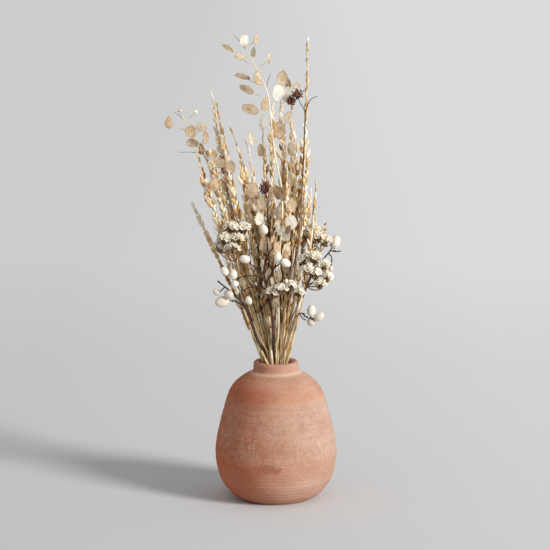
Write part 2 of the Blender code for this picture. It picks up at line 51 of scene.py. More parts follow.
# Inside from the middle of the floor up to the lip.
VASE_INNER = [
    (38.0, FLOOR_Z), (52.0, 12.6), (61.0, 21.0), (68.0, 33.0), (72.2, 47.0), (73.8, 63.0),
    (72.2, 80.0), (68.4, 99.0), (62.4, 120.0), (56.4, 136.5), (49.6, 147.0), (40.5, 155.0),
    (30.0, 161.0), (23.0, 166.0), (21.2, 171.0), (21.0, 177.0), (21.9, 181.2),
]

# ---------------------------------------------------------------- stems in the neck
FOOT_Z = 9.5
NECK_Z = 174.0
BEND_Z = 178.0
SLOT_PITCH = 3.9
SLOT_RADIUS = 14.9
LEAN_TO_SLOT = 30.0
STEM_R = 1.1
TWIG_R = 0.85

# ---------------------------------------------------------------- spacing between stems
GAP = 1.1
SAMPLE_STEP = 4.0
KNOTS = [178.0, 195.0, 214.0, 238.0, 266.0, 300.0, 338.0, 378.0, 420.0, 462.0, 504.0, 546.0, 590.0,
         640.0]
ROUNDS = 420

# Grass spikes: tip x, y, z, sideways bow, length of the head, radius of the head.
GRASS = [
    (41, 5, 605, 10, 190, 2.6), (53, -5, 422, 10, 90, 2.8), (46, 36, 405, 3, 60, 3.0),
    (37, 15, 473, 4, 120, 2.8), (28, -10, 463, 2, 110, 2.8), (18, 9, 534, 4, 150, 2.8),
    (23, 20, 485, 5, 120, 2.8), (10, 12, 521, 3, 130, 2.8), (-3, -8, 522, -2, 120, 2.8),
    (14, -15, 444, 3, 90, 2.8), (-6, 14, 486, 0, 110, 2.8), (-17, -5, 467, 0, 110, 3.0),
    (-38, -10, 473, 4, 120, 3.0), (-59, 0, 493, 16, 140, 3.0), (-77, 5, 524, -4, 150, 3.0),
    (-84, 14, 535, -8, 160, 2.8), (-47, -16, 451, -2, 110, 3.0), (-30, 8, 437, 0, 100, 3.0),
    (-22, -18, 418, 0, 80, 3.0), (-66, -6, 456, -3, 120, 3.0), (-60, -19, 432, -2, 100, 3.0),
    (-81, -12, 463, -4, 120, 3.0), (-93, 10, 461, -4, 120, 3.0), (-106, -2, 474, -6, 120, 3.0),
    (-89, -22, 425, -4, 90, 3.0), (-74, -28, 411, -4, 80, 3.0), (-52, 22, 399, -3, 80, 3.0),
    (32, 27, 425, 2, 90, 3.0), (42, -12, 464, 4, 100, 2.8), (-72, 24, 429, -3, 100, 3.0),
    (-47, 40, 456, -2, 110, 3.0), (-18, 38, 496, 0, 120, 3.0), (12, 45, 468, 2, 110, 3.0),
    (-34, 56, 387, -1, 80, 3.0), (14, 58, 392, 1, 80, 3.0),
]
# Small bead spikes on the right: stem points above the neck, radius of the head.
BEAD_SPIKES = [
    [(36, 14, 267), (52, 18, 310), (61, 18, 333), (63, 18, 363)],
    [(32, 24, 266), (46, 28, 309), (52, 28, 339), (53, 28, 361)],
]
BEAD_HEAD = (34, 2.6)

# Tallow sprigs: main stem, side twigs, berries as x, y, z, radius.
TALLOW = {
    "tallow_sprig_front": {
        "stem": [(1, -18, 222), (-4, -25, 258), (-10, -31, 286), (-13, -35, 299), (-14, -37, 306)],
        "twigs": [
            [(-12, -35, 299), (-24, -40, 303), (-38, -44, 303), (-48, -47, 301), (-54, -48, 301)],
            [(-14, -37, 306), (-24, -42, 313), (-33, -44, 321), (-37, -46, 326)],
            [(-10, -33, 293), (-4, -42, 306), (1, -47, 318), (4, -50, 326)],
            [(-1, -46, 314), (6, -51, 320), (12, -52, 324)],
            [(-9, -31, 283), (-22, -38, 289), (-32, -42, 288), (-40, -45, 285)],
            [(-14, -37, 305), (-12, -41, 322), (-9, -42, 342), (-13, -44, 362)],
            [(-46, -46, 302), (-50, -49, 296), (-51, -50, 294)],
        ],
        "berries": [(-53, -49, 306, 5.2), (-51, -51, 294, 5.4), (-64, -48, 310, 5.2),
                    (-38, -46, 326, 5.8), (4, -50, 329, 5.6), (14, -52, 322, 5.4),
                    (-33, -46, 272, 4.6), (-14, -44, 364, 5.2)],
    },
    "tallow_sprig_left": {
        "stem": [(-12, -7.5, 191), (-25, -13, 214), (-35, -17, 244), (-43, -21, 261), (-49, -24, 272),
                 (-56, -28, 283), (-65, -31, 290), (-76, -33, 295)],
        "twigs": [
            [(-43, -21, 261), (-52, -26, 266), (-59, -30, 269), (-66, -33, 270)],
            [(-54, -27, 281), (-60, -32, 279), (-64, -35, 279)],
            [(-64, -31, 289), (-70, -34, 284), (-74, -36, 280)],
        ],
        "berries": [(-70, -34, 268, 7.2), (-62, -38, 278, 6.2), (-77, -38, 281, 4.2)],
    },
    "tallow_sprig_far_right": {
        "stem": [(19, 10, 221), (32, 14, 261), (45, 16, 293), (58, 16, 317), (70, 15, 328)],
        "twigs": [
            [(69, 15, 327), (72, 14, 332), (74, 14, 336)],
            [(69, 15, 327), (76, 13, 326), (83, 12, 327)],
            [(66, 15, 324), (71, 12, 318), (70, 11, 306)],
        ],
        "berries": [(75, 14, 338, 7.0), (70, 11, 304, 3.4)],
    },
}
# The loose tallow sprig on the right is a straight stem through the front of the neck.
LOOSE_TALLOW = {
    "through": (6.0, -17.6, 178.0),
    "lean": (0.25, -0.03),
    "foot_z": 10.6,
    "straight_to": 236.0,
    "stem": [(28, -20, 247), (33, -20, 250), (38, -20, 249)],
    "twigs": [[(34, -20, 250), (42, -22, 244), (50, -22, 243)],
              [(31, -20, 249), (35, -21, 243), (40, -21, 241)]],
    "berries": [(46, -21, 253, 6.0), (56, -24, 246, 5.8), (46, -18, 238, 5.6)],
}
# The loose grass spike on the far left is straight from the inside wall to its tip.
LOOSE_GRASS = {
    "through": (-9.2, -15.0, 178.0),
    "lean": (-0.49, 0.3),
    "foot_z": 63.0,
    "tip_z": 384.0,
    "head": 130.0,
    "head_r": 3.2,
}

LOOSE = [("tallow_sprig_right", LOOSE_TALLOW, "tallow"), ("grass_stem_left", LOOSE_GRASS, "grass")]

# Statice sprays: main stem, then flower clusters as x, y, z, radius across, radius up.
STATICE = {
    "statice_left": {
        "stem": [(-10.5, -13, 191), (-23, -17, 219), (-36, -26, 267), (-47, -31, 301), (-53, -34, 322)],
        "heads": [(-59, -33, 364, 10), (-43, -31, 364, 9), (-66, -40, 351, 9), (-50, -43, 351, 9),
                  (-72, -32, 339, 9), (-57, -45, 340, 8)],
    },
    "statice_right_high": {
        "stem": [(20, 4, 222), (32, 6, 262), (44, 8, 301), (49, 8, 321)],
        "heads": [(41, 6, 349, 9), (55, 2, 347, 9), (49, 15, 355, 8), (64, 9, 341, 8)],
    },
    "statice_right": {
        "stem": [(14, -16, 219), (24, -24, 246), (35, -30, 274), (41, -33, 289)],
        "heads": [(38, -38, 322, 9), (50, -43, 328, 9), (62, -43, 317, 9), (52, -49, 308, 9),
                  (66, -43, 302, 8), (42, -50, 312, 7), (58, -48, 293, 7)],
    },
    "statice_front": {
        "stem": [(7, -18, 212), (9, -26, 238), (11, -34, 261)],
        "heads": [(-5, -42, 281, 8), (7, -47, 287, 8), (18, -45, 291, 8), (29, -43, 281, 7)],
    },
}

# Honesty branches: main stem, then seed pods as x, y, z, half width, half height, turn, tilt.
HONESTY = {
    "honesty_tall": {
        "stem": [(2, -18, 226), (2, -28, 281), (4, -38, 335), (8, -42, 386), (6, -42, 423),
                 (-3, -41, 466), (-7, -38, 505), (-10, -33, 536), (-18, -28, 559),
                 (-28, -24, 576), (-37, -21, 589), (-41, -19, 597)],
        "pods": [
            (-41, -21, 605, 5.5, 6, 20, 10), (-26, -20, 607, 3.5, 6.5, 50, 5),
            (-29, -18, 590, 3.5, 6, -30, 20),
            (-62, -24, 596, 7, 2.6, 10, 32), (-47, -27, 585, 5.6, 4.2, 20, 20),
            (-43, -31, 560, 8.3, 3.4, 0, 15),
            (-23, -38, 558, 5.5, 8, 25, -10), (-38, -36, 544, 8.5, 4.5, -15, 25),
            (-15, -42, 525, 5, 7.5, 30, 10), (-33, -42, 519, 9.5, 6, 0, 18),
            (-18, -46, 501, 4.5, 6.5, -20, 10), (-9, -24, 582, 2.2, 6.5, 0, 5),
            (-32, -46, 481, 2.8, 8, 20, -15), (-19, -44, 466, 5, 7, -25, 0),
        ],
    },
    "honesty_centre": {
        "stem": [(10, 6, 222), (15, 10, 275), (19, 12, 327), (20, 12, 380), (16, 10, 434),
                 (11, 8, 461), (7, 6, 477), (4, 4, 501), (8, 2, 525), (9, 0, 544)],
        "pods": [
            (8, -4, 555, 7, 8, 10, 0), (16, 3, 546, 4.5, 6.5, -30, 0), (3, -6, 535, 8, 9.5, 15, 0),
            (15, -1, 533, 7.5, 8.5, -10, 0), (26, 5, 544, 5, 4, 40, 0), (5, -6, 487, 6.5, 10, 0, 0),
            (16, 0, 503, 5, 6, 30, 0), (20, 3, 462, 5, 8, -25, 0),
        ],
    },
    "honesty_left": {
        "stem": [(-25, 4, 216), (-43, 8, 268), (-59, 10, 328), (-73, 8, 381), (-86, 4, 428),
                 (-95, 0, 455), (-107, -4, 480), (-117, -8, 498), (-124, -10, 507)],
        "pods": [
            (-141, -12, 498, 4.5, 6.5, 20, 0), (-113, -13, 487, 6.5, 6.5, 10, 0),
            (-110, -12, 472, 7, 5.5, -20, 10), (-99, -8, 492, 6, 5.5, 0, 0),
            (-93, -8, 478, 4, 7, 30, 0), (-99, -1, 462, 5, 6, -30, 0),
            (-106, -6, 512, 2.6, 2.6, 0, 0), (-86, -8, 457, 7, 5, 15, 10), (-61, -14, 441, 6, 7, 0, 0),
            (-82, -14, 418, 6, 8, 20, 0), (-126, -4, 513, 2.6, 2.2, 0, 0), (-74, -12, 446, 6, 6, 0, 0),
        ],
    },
    "honesty_inner": {
        "stem": [(-5, -10, 225), (-4, -16, 279), (-1, -20, 332), (2, -22, 379), (-5, -22, 412),
                 (-10, -20, 437)],
        "pods": [
            (-19, -30, 396, 6, 8, 10, 0), (-6, -31, 408, 5, 8, 40, 0), (4, -33, 384, 6, 8, -20, 0),
            (20, -28, 393, 6, 8, 20, 0), (19, -27, 370, 7, 8, 0, 0), (-14, -30, 341, 8, 9, 10, 0),
            (11, -29, 355, 6.5, 8, -30, 0), (13, -26, 333, 6, 8, 20, 0), (-31, -26, 412, 7, 9, 0, 0),
            (-22, -28, 375, 6, 7, 30, 0),
        ],
    },
}

# Dark seed heads: main stem, side twigs, clusters as x, y, z, radius across, radius up.
SEED_HEADS = {
    "seed_head_tall": {
        "stem": [(12, -4, 224), (23, -8, 291), (31, -10, 344), (33, -12, 397), (36, -12, 451),
                 (37, -12, 490), (38, -12, 514)],
        "twigs": [[(38, -12, 513), (32, -12, 524), (29, -12, 530)],
                  [(38, -12, 513), (44, -14, 528), (53, -16, 534)]],
        "clusters": [(28, -12, 536, 9, 7), (20, -10, 527, 7, 6)],
    },
    "seed_head_low": {
        "stem": [(-7, -8, 224), (-9, -8, 277), (-9, -10, 331), (-10, -12, 378), (-11, -12, 402)],
        "twigs": [],
        "clusters": [(-13, -13, 414, 7.5, 9)],
    },
}


# ---------------------------------------------------------------- where every stem runs
def between(a, b, t):
    return tuple(a[k] + (b[k] - a[k]) * t for k in range(3))


def new_piece(name, kind, above, twigs=(), balls=(), head=(0, 0.0)):
    """Everything the layout needs to know about one stem: its points above the neck, its twigs, and its balls
    as centre, size, turn, tilt."""
    return {"name": name, "kind": kind, "above": [list(p) for p in above], "twigs": list(twigs),
            "balls": list(balls), "head": head[0], "head_r": head[1]}


def berry_balls(berries):
    return [(b[:3], (b[3] * 0.92, b[3] * 0.92, b[3]), 0, 0) for b in berries]


def collect_pieces():
    pieces = []
    for number, (x, y, z, bow, *head) in enumerate(GRASS, 1):
        steps = max(5, round((z - BEND_Z) / 42))
        part = [i / steps for i in range(1, steps + 1)]
        above = [(x * t + bow * (4.0 * t * (1.0 - t)), y * t, BEND_Z + (z - BEND_Z) * t) for t in part]
        pieces.append(new_piece("grass_stem_%02d" % number, "grass", above, head=head))
    for number, above in enumerate(BEAD_SPIKES, 1):
        pieces.append(new_piece("bead_spike_%d" % number, "grass", above, head=BEAD_HEAD))
    for name, data in TALLOW.items():
        pieces.append(new_piece(name, "tallow", data["stem"], data["twigs"], berry_balls(data["berries"])))
    for name, data in STATICE.items():
        x, y, z = data["stem"][-1]
        twigs = [[(x, y, z - 2.0), h[:3]] for h in data["heads"]]
        balls = [(h[:3], (h[3], h[3], h[3] * 0.62), 0, 0) for h in data["heads"]]
        pieces.append(new_piece(name, "statice", data["stem"], twigs, balls))
    for name, data in HONESTY.items():
        twigs = [[pedicel_root(data["stem"], pod), pod[:3]] for pod in data["pods"]]
        balls = [(p[:3], (p[3], 1.1, p[4]), p[5], p[6]) for p in data["pods"]]
        pieces.append(new_piece(name, "honesty", data["stem"], twigs, balls))
    for name, data in SEED_HEADS.items():
        balls = [(c[:3], (c[3], c[3], c[4]), 0, 0) for c in data["clusters"]]
        pieces.append(new_piece(name, "seed", data["stem"], data["twigs"], balls))
    return pieces


def pedicel_root(stem, pod):
    """Point on the stem a little below the pod, where its thin stalk leaves."""
    goal = pod[2] - 12.0
    low = stem[0]
    for high in stem[1:]:
        if high[2] >= goal:
            t = max(0.0, min(1.0, (goal - low[2]) / (high[2] - low[2])))
            return between(low, high, t)
        low = high
    return tuple(stem[-1])


def neck_slots():
    """Places for the stems side by side in the neck, in a honeycomb."""
    grid = [((column + 0.5 * (row % 2)) * SLOT_PITCH, row * (SLOT_PITCH * math.sqrt(0.75)))
            for row in range(-6, 7) for column in range(-6, 7)]
    return [spot for spot in grid if math.hypot(*spot) <= SLOT_RADIUS]


def lean_of(piece):
    """Sideways run of the stem per millimetre of height, over its first stretch."""
    above = piece["above"]
    point = next((p for p in above if p[2] >= max(above[0][2], 262.0)), above[-1])
    return (point[0] / (point[2] - BEND_Z), point[1] / (point[2] - BEND_Z))


def give_slots(pieces):
    """Stems that lean out most take the outer places, each as near its own side as is free."""
    slots = neck_slots()
    order = sorted(pieces, key=lambda p: -math.hypot(*lean_of(p)))
    for piece in order:
        lean = lean_of(piece)
        size = max(1e-6, math.hypot(*lean))
        scale = min(LEAN_TO_SLOT, SLOT_RADIUS / size)
        goal = (lean[0] * scale, lean[1] * scale)
        best = min(slots, key=lambda s: math.hypot(s[0] - goal[0], s[1] - goal[1]))
        slots.remove(best)
        piece["slot"] = best


def shift_grass(piece):
    """Grass stems start from their own place in the neck and run to the tip."""
    slot = piece["slot"]
    top = piece["above"][-1][2]
    for point in piece["above"]:
        left = 1.0 - (point[2] - BEND_Z) / (top - BEND_Z)
        point[0] += slot[0] * left
        point[1] += slot[1] * left


def loose_pieces():
    out = []
    for name, data, kind in LOOSE:
        base = data["through"]
        lean = data["lean"]
        top = data.get("straight_to", data.get("tip_z"))
        heights = [data["foot_z"], BEND_Z] + [z for z in KNOTS[2:] if z < top - 9.0] + [top]
        path = [(base[0] + lean[0] * (z - base[2]), base[1] + lean[1] * (z - base[2]), z) for z in heights]
        path += data.get("stem", [])
        piece = new_piece(name, kind, [], data.get("twigs", []), berry_balls(data.get("berries", [])),
                          (data.get("head", 0), data.get("head_r", 0)))
        piece.update(path=path, loose=True)
        out.append(piece)
    return out


def radii_along(piece):
    """Stem radius at each path point: the grass head swells and ends in a fine tip."""
    top = piece["path"][-1][2]
    radii = []
    for point in piece["path"]:
        below = top - point[2]
        if piece["kind"] != "grass":
            radii.append(STEM_R + 0.15 - 0.3 * max(0.0, min(1.0, (point[2] - BEND_Z) / (top - BEND_Z))))
        elif below > piece["head"]:
            radii.append(STEM_R)
        else:
            swell = math.sin(math.pi * min(1.0, 0.12 + 0.95 * (1.0 - below / piece["head"])))
            radii.append(STEM_R + (piece["head_r"] - STEM_R) * swell)
    if piece["kind"] == "grass":
        radii[-1] = 0.7
    return radii


def samples_of(piece):
    """Points and radii that stand for the piece while the stems are spaced out."""
    out = []
    path = piece["path"]
    radii = radii_along(piece)
    for a, b, ra, rb in zip(path, path[1:], radii, radii[1:]):
        if b[2] >= BEND_Z - 1.0:
            count = max(1, math.ceil(math.dist(a, b) / SAMPLE_STEP))
            out += [(*between(a, b, i / count), ra + (rb - ra) * (i / count)) for i in range(count)]
    out.append((*path[-1], radii[-1]))
    for twig in piece["twigs"]:
        for a, b in zip(twig, twig[1:]):
            count = max(1, math.ceil(math.dist(a, b) / SAMPLE_STEP))
            out += [(*between(a, b, i / count), TWIG_R) for i in range(1, count + 1)]
    for (x, y, z), size, turn, _ in piece["balls"]:
        if size[1] < 2.0:
            across = (math.cos(math.radians(turn)) * size[0], math.sin(math.radians(turn)) * size[0])
            out += [(x + across[0] * k, y + across[1] * k, z, size[0] * 0.5) for k in (-0.66, 0.0, 0.66)]
            out += [(x, y, z + size[2] * k, size[0] * 0.5) for k in (0.6, -0.6)]
        else:
            out.append((x, y, z, max(size)))
    return out


def space_out(pieces):
    """Push stems, twigs, pods and heads apart in depth until none of them touch."""
    knots = np.array(KNOTS)
    samples = [samples_of(piece) for piece in pieces]
    owner = np.repeat(np.arange(len(pieces)), [len(rows) for rows in samples])
    data = np.concatenate(samples)
    place, radius = data[:, :3], data[:, 3]
    cell = np.clip(np.searchsorted(knots, place[:, 2], side="right") - 1, 0, len(knots) - 2)
    part = np.clip((place[:, 2] - knots[cell]) / (knots[cell + 1] - knots[cell]), 0.0, 1.0)
    order = np.argsort(place[:, 2], kind="stable")
    first, second = [], []
    reach = 2.0 * radius.max() + GAP
    for spot, i in enumerate(order):
        near = order[spot + 1:np.searchsorted(place[order, 2], place[i, 2] + reach)]
        keep = (owner[near] != owner[i]) & (place[near, 2] - place[i, 2] < radius[near] + radius[i] + GAP)
        keep &= np.abs(place[near, 0] - place[i, 0]) < radius[near] + radius[i] + GAP + 5.0
        first.append(np.full(keep.sum(), i))
        second.append(near[keep])
    first, second = np.concatenate(first), np.concatenate(second)
    fixed = np.array([bool(p.get("loose")) for p in pieces])
    offset = np.zeros((len(pieces), len(knots), 2))
    for _ in range(ROUNDS):
        move = offset[owner, cell] * (1.0 - part)[:, None] + offset[owner, cell + 1] * part[:, None]
        now = place[:, :2] + move
        gap = now[first] - now[second]
        rise = place[first, 2] - place[second, 2]
        dist = np.sqrt((gap ** 2).sum(axis=1) + rise ** 2)
        need = radius[first] + radius[second] + GAP
        hit = np.nonzero(dist < need)[0]
        if len(hit) == 0:
            break
        a, b = first[hit], second[hit]
        side = np.where(owner[a] < owner[b], 1.0, -1.0)
        push = gap[hit] * np.array([0.35, 1.0])
        push[:, 1] += 0.05 * side
        push /= np.linalg.norm(push, axis=1)[:, None]
        amount = (need - dist)[hit]
        share_a = np.where(fixed[owner[b]], 1.0, 0.5)
        share_b = np.where(fixed[owner[a]], 1.0, 0.5)
        total = np.zeros_like(offset)
        count = np.zeros(offset.shape[:2])
        for who, sign, share in ((a, 1.0, share_a), (b, -1.0, share_b)):
            for shift, weight in ((0, 1.0 - part[who]), (1, part[who])):
                part_of = push * (sign * amount * share * weight)[:, None]
                np.add.at(total, (owner[who], cell[who] + shift), part_of)
                np.add.at(count, (owner[who], cell[who] + shift), weight)
        offset += 1.1 * total / np.maximum(count, 0.6)[:, :, None]
        smooth = offset.copy()
        smooth[:, 1:-1] = 0.90 * offset[:, 1:-1] + 0.05 * (offset[:, :-2] + offset[:, 2:])
        smooth[:, -1] = 0.9 * offset[:, -1] + 0.1 * offset[:, -2]
        offset = smooth
        offset[:, 0] = 0.0
        offset[fixed] = 0.0
    for index, piece in enumerate(pieces):
        piece["offset"] = offset[index]


def moved(piece, point):
    """A point of the piece after the stems have been spaced out."""
    if point[2] <= BEND_Z:
        return tuple(point)
    shift = [float(np.interp(point[2], KNOTS, piece["offset"][:, k])) for k in (0, 1)]
    return (point[0] + shift[0], point[1] + shift[1], point[2])


def nearest_on(lines, point):
    """Nearest place to the point on a set of lines."""
    best = None
    goal = Vector(point)
    for line in lines:
        for low, high in zip(line, line[1:]):
            start = Vector(low)
            along = Vector(high) - start
            t = max(0.0, min(1.0, (goal - start).dot(along) / along.length_squared))
            spot = start + along * t
            if best is None or (spot - goal).length < (best - goal).length:
                best = spot
    return tuple(best)


def join_up(piece):
    """Start every twig on the wood it grows from and give every pod and berry a stalk."""
    stem = piece["path"][1:]
    wood = [stem]
    if piece["kind"] == "honesty":
        piece["twigs"] = [[pedicel_root(stem, ball[0]), ball[0]] for ball in piece["balls"]]
        return
    for twig in piece["twigs"]:
        wood.append([nearest_on(wood, twig[0])] + twig[1:])
    twigs = wood[1:]
    if piece["kind"] in ("tallow", "seed"):
        for centre, *_ in piece["balls"]:
            root = nearest_on(wood[1:] or wood, centre)
            if math.dist(root, centre) > 1.0:
                twigs.append([root, centre])
    piece["twigs"] = twigs


def at_knots(line):
    """The same line with its points on the spacing heights, plus its own tip."""
    out = []
    for height in KNOTS[1:]:
        if height > line[-1][2] - 9.0:
            break
        for low, high in zip(line, line[1:]):
            if low[2] <= height <= high[2]:
                out.append(between(low, high, (height - low[2]) / (high[2] - low[2])))
                break
    return out + [line[-1]]


def lay_out():
    pieces = collect_pieces()
    give_slots(pieces)
    for piece in pieces:
        slot = piece["slot"]
        if piece["kind"] == "grass" and piece["name"].startswith("grass"):
            shift_grass(piece)
        line = [(slot[0], slot[1], NECK_Z)] + [tuple(p) for p in piece["above"]]
        piece["path"] = [(slot[0], slot[1], FOOT_Z), line[0]] + at_knots(line)
    pieces += loose_pieces()
    space_out(pieces)
    for piece in pieces:
        piece["path"] = [moved(piece, p) for p in piece["path"]]
        piece["twigs"] = [[moved(piece, p) for p in twig] for twig in piece["twigs"]]
        piece["balls"] = [(moved(piece, c), size, turn, tilt) for c, size, turn, tilt in piece["balls"]]
        join_up(piece)
    return pieces


# ---------------------------------------------------------------- mesh tools
def unit(v):
    v = np.asarray(v, float)
    return v / max(1e-9, np.linalg.norm(v))


def frame_of(axis, hint=(0.0, -1.0, 0.0)):
    """Two unit vectors across the axis; the first is as near the hint as it can be."""
    axis = unit(axis)
    first = np.asarray(hint, float) - axis * np.dot(hint, axis)
    if np.linalg.norm(first) < 1e-3:
        first = np.asarray((1.0, 0.2, 0.0)) - axis * axis[0]
    first = unit(first)
    return first, np.cross(axis, first)


def smooth_line(points, step):
    """Catmull-Rom curve through the points with a point about every step."""
    p = [np.asarray(q, float) for q in points]
    p = [2 * p[0] - p[1]] + p + [2 * p[-1] - p[-2]]
    out = []
    for i in range(1, len(p) - 2):
        count = max(1, int(math.ceil(np.linalg.norm(p[i + 1] - p[i]) / step)))
        for k in range(count):
            t = k / count
            a, b, c, d = p[i - 1], p[i], p[i + 1], p[i + 2]
            bend = (2 * a - 5 * b + 4 * c - d) * t * t + (3 * b - a - 3 * c + d) * t ** 3
            out.append(0.5 * (2 * b + (c - a) * t + bend))
    out.append(p[-2])
    return np.array(out)


def circle(sides):
    return np.arange(sides) * 2 * math.pi / sides


def ring_at(centre, angles, a, b, along_a, along_b):
    """Ring of points round the centre, in the plane of a and b."""
    return centre + np.outer(np.cos(angles) * along_a, a) + np.outer(np.sin(angles) * along_b, b)


class Shape:
    """Collects closed surfaces in millimetres: each point has a tone, each face a material number."""

    def __init__(self):
        self.points, self.faces, self.tones, self.marks, self.count = [], [], [], [], 0

    def rings(self, rings, tones, mark):
        """Closed skin over rings of points, with a fan at each end."""
        count, sides = len(rings), len(rings[0])
        self.points += [np.concatenate(rings), [np.mean(rings[0], axis=0)], [np.mean(rings[-1], axis=0)]]
        tones = np.broadcast_to(np.asarray(tones, float), (count,))
        self.tones += [np.repeat(tones, sides), tones[:1], tones[-1:]]
        low = self.count + count * sides
        sides_of = [(s, (s + 1) % sides) for s in range(sides)]
        rows = range(self.count, low - sides, sides)
        self.faces += [(r + s, r + n, r + sides + n, r + sides + s) for r in rows for s, n in sides_of]
        for s, n in sides_of:
            self.faces += [(low, self.count + n, self.count + s), (low + 1, low - sides + s, low - sides + n)]
        self.marks += [mark] * (sides * (count + 1))
        self.count = low + 2

    def tube(self, line, radii, sides, tone, mark, uneven=0.0):
        line = np.asarray(line, float)
        radii = np.broadcast_to(radii, (len(line),))
        tangent = np.gradient(line, axis=0)
        a, _ = frame_of(tangent[0])
        angles = circle(sides)
        rings = []
        for i, centre in enumerate(line):
            t = unit(tangent[i])
            a = unit(a - t * np.dot(a, t))
            r = radii[i] * (1.0 + uneven * np.sin(angles * 2 + i * 0.7))
            rings.append(ring_at(centre, angles, a, np.cross(t, a), r, r))
        self.rings(rings, tone, mark)

    def stalk(self, root, tip, radii, sides):
        self.tube([root, (root + tip) * 0.5, tip], radii, sides, 0.2, 0)

    def husk(self, base, axis, flat, length, wide, thick, tone, mark, sides=6, open_tip=0.0):
        """Seed husk: a pointed drop, flattened along flat."""
        a, b = frame_of(axis, flat)
        axis = unit(axis)
        rings, tones = [], []
        for t in (0.0, 0.12, 0.34, 0.6, 0.84, 1.0):
            swell = math.sin(math.pi * min(1.0, t ** 0.72 * 0.96 + 0.03))
            centre = np.asarray(base) + axis * length * t + a * thick * 0.5 * math.sin(t * 2.0) * open_tip
            rings.append(ring_at(centre, circle(sides), a, b, thick * swell, wide * swell))
            tones.append(tone + 0.16 * (t - 0.4))
        self.rings(rings, tones, mark)

    def paint_shade_inside(self):
        """Painted shade: what stands deep inside the bunch, where the light is blocked, is darkened towards
        brown.
        """
        points = np.concatenate(self.points)
        reach = np.interp(points[:, 2], [180.0, 230.0, 300.0, 400.0, 600.0], [14.0, 22.0, 38.0, 48.0, 60.0])
        deep = np.clip(1.0 - (points[:, 0] ** 2 + points[:, 1] ** 2) / reach ** 2, 0.0, 1.0)
        depth = np.interp(points[:, 2], [185.0, 215.0, 310.0, 380.0, 480.0], [0.05, 0.20, 0.28, 0.08, 0.0])
        self.tones = [np.maximum(np.concatenate(self.tones) - deep * depth, 0.02)]

    def make(self, name, materials):
        mesh = bpy.data.meshes.new(name)
        mesh.from_pydata((np.concatenate(self.points) * MM).tolist(), [], self.faces)
        mesh.update()
        layer = mesh.attributes.new("tone", "FLOAT", "POINT")
        layer.data.foreach_set("value", np.concatenate(self.tones).astype(np.float32))
        for material in materials:
            mesh.materials.append(material)
        mesh.polygons.foreach_set("material_index", np.array(self.marks, dtype=np.int32))
        mesh.polygons.foreach_set("use_smooth", np.ones(len(mesh.polygons), dtype=bool))
        return add_object(name, mesh)


# ---------------------------------------------------------------- materials
class Num:
    """A value in a shader tree, so that shader sums can be written as sums."""

    def __init__(self, tree, socket):
        self.tree, self.socket = tree, socket

    def into(self, spot):
        self.tree.links.new(self.socket, spot)

    def run(self, operation, a, b):
        node = self.tree.nodes.new("ShaderNodeMath")
        node.operation = operation
        for spot, value in zip(node.inputs, (a, b)):
            put(value, spot)
        return Num(self.tree, node.outputs[0])

    def __add__(self, other):
        return self.run("ADD", self, other)

    def __sub__(self, other):
        return self.run("SUBTRACT", self, other)

    def __rsub__(self, other):
        return self.run("SUBTRACT", other, self)

    def __mul__(self, other):
        return self.run("MULTIPLY", self, other)

    def __lt__(self, other):
        return self.run("LESS_THAN", self, other)

    def __gt__(self, other):
        return self.run("GREATER_THAN", self, other)

    def __abs__(self):
        return self.run("ABSOLUTE", self, 0.5)

    def clamp(self):
        """Keep the last sum between 0 and 1."""
        self.socket.node.use_clamp = True
        return self


def put(value, spot):
    """Link a value to an input, or set a constant on it."""
    if isinstance(value, Num):
        value.into(spot)
    else:
        spot.default_value = (*value, 1.0) if isinstance(value, tuple) else value


def new_material(name, rough, specular):
    material = bpy.data.materials.new(name)
    material.use_nodes = True
    tree = material.node_tree
    shader = tree.nodes["Principled BSDF"]
    shader.inputs["Roughness"].default_value = rough
    shader.inputs["Specular IOR Level"].default_value = specular
    return material, tree, shader


def add_node(tree, kind, **values):
    node = tree.nodes.new(kind)
    for key, value in values.items():
        node.inputs[key].default_value = value
    return node


def own_place(tree):
    """The object's own space, as one vector."""
    return Num(tree, tree.nodes.new("ShaderNodeTexCoord").outputs["Object"])


def own_axes(tree):
    """X, Y and Z in the object's own space."""
    split = tree.nodes.new("ShaderNodeSeparateXYZ")
    own_place(tree).into(split.inputs[0])
    return [Num(tree, socket) for socket in split.outputs]


def ramp(source, stops):
    node = source.tree.nodes.new("ShaderNodeValToRGB")
    line = node.color_ramp
    while len(line.elements) < len(stops):
        line.elements.new(0.5)
    for element, (place, colour) in zip(line.elements, stops):
        element.position = place
        element.color = (*colour, 1.0)
    source.into(node.inputs[0])
    return Num(source.tree, node.outputs[0])


def noise(tree, scale, detail=3.0, stretch=(1, 1, 1), roughness=0.5, offset=(0, 0, 0), distortion=0.0):
    """Noise in the object's own space, in noise cells per metre."""
    spread = add_node(tree, "ShaderNodeMapping", Scale=stretch, Location=offset)
    own_place(tree).into(spread.inputs[0])
    cloud = add_node(tree, "ShaderNodeTexNoise", Scale=scale, Detail=detail, Roughness=roughness,
                     Distortion=distortion)
    tree.links.new(spread.outputs[0], cloud.inputs["Vector"])
    return Num(tree, cloud.outputs[0])


def blend_colour(factor, a, b, mode="MIX"):
    tree = a.tree
    node = tree.nodes.new("ShaderNodeMix")
    node.data_type = "RGBA"
    node.blend_type = mode
    for spot, value in zip([s for s in node.inputs if s.enabled], (factor, a, b)):
        put(value, spot)
    return Num(tree, [s for s in node.outputs if s.enabled][0])


def bump(shader, height, strength, distance):
    node = add_node(height.tree, "ShaderNodeBump", Strength=strength, Distance=distance)
    height.into(node.inputs["Height"])
    height.tree.links.new(node.outputs[0], shader.inputs["Normal"])


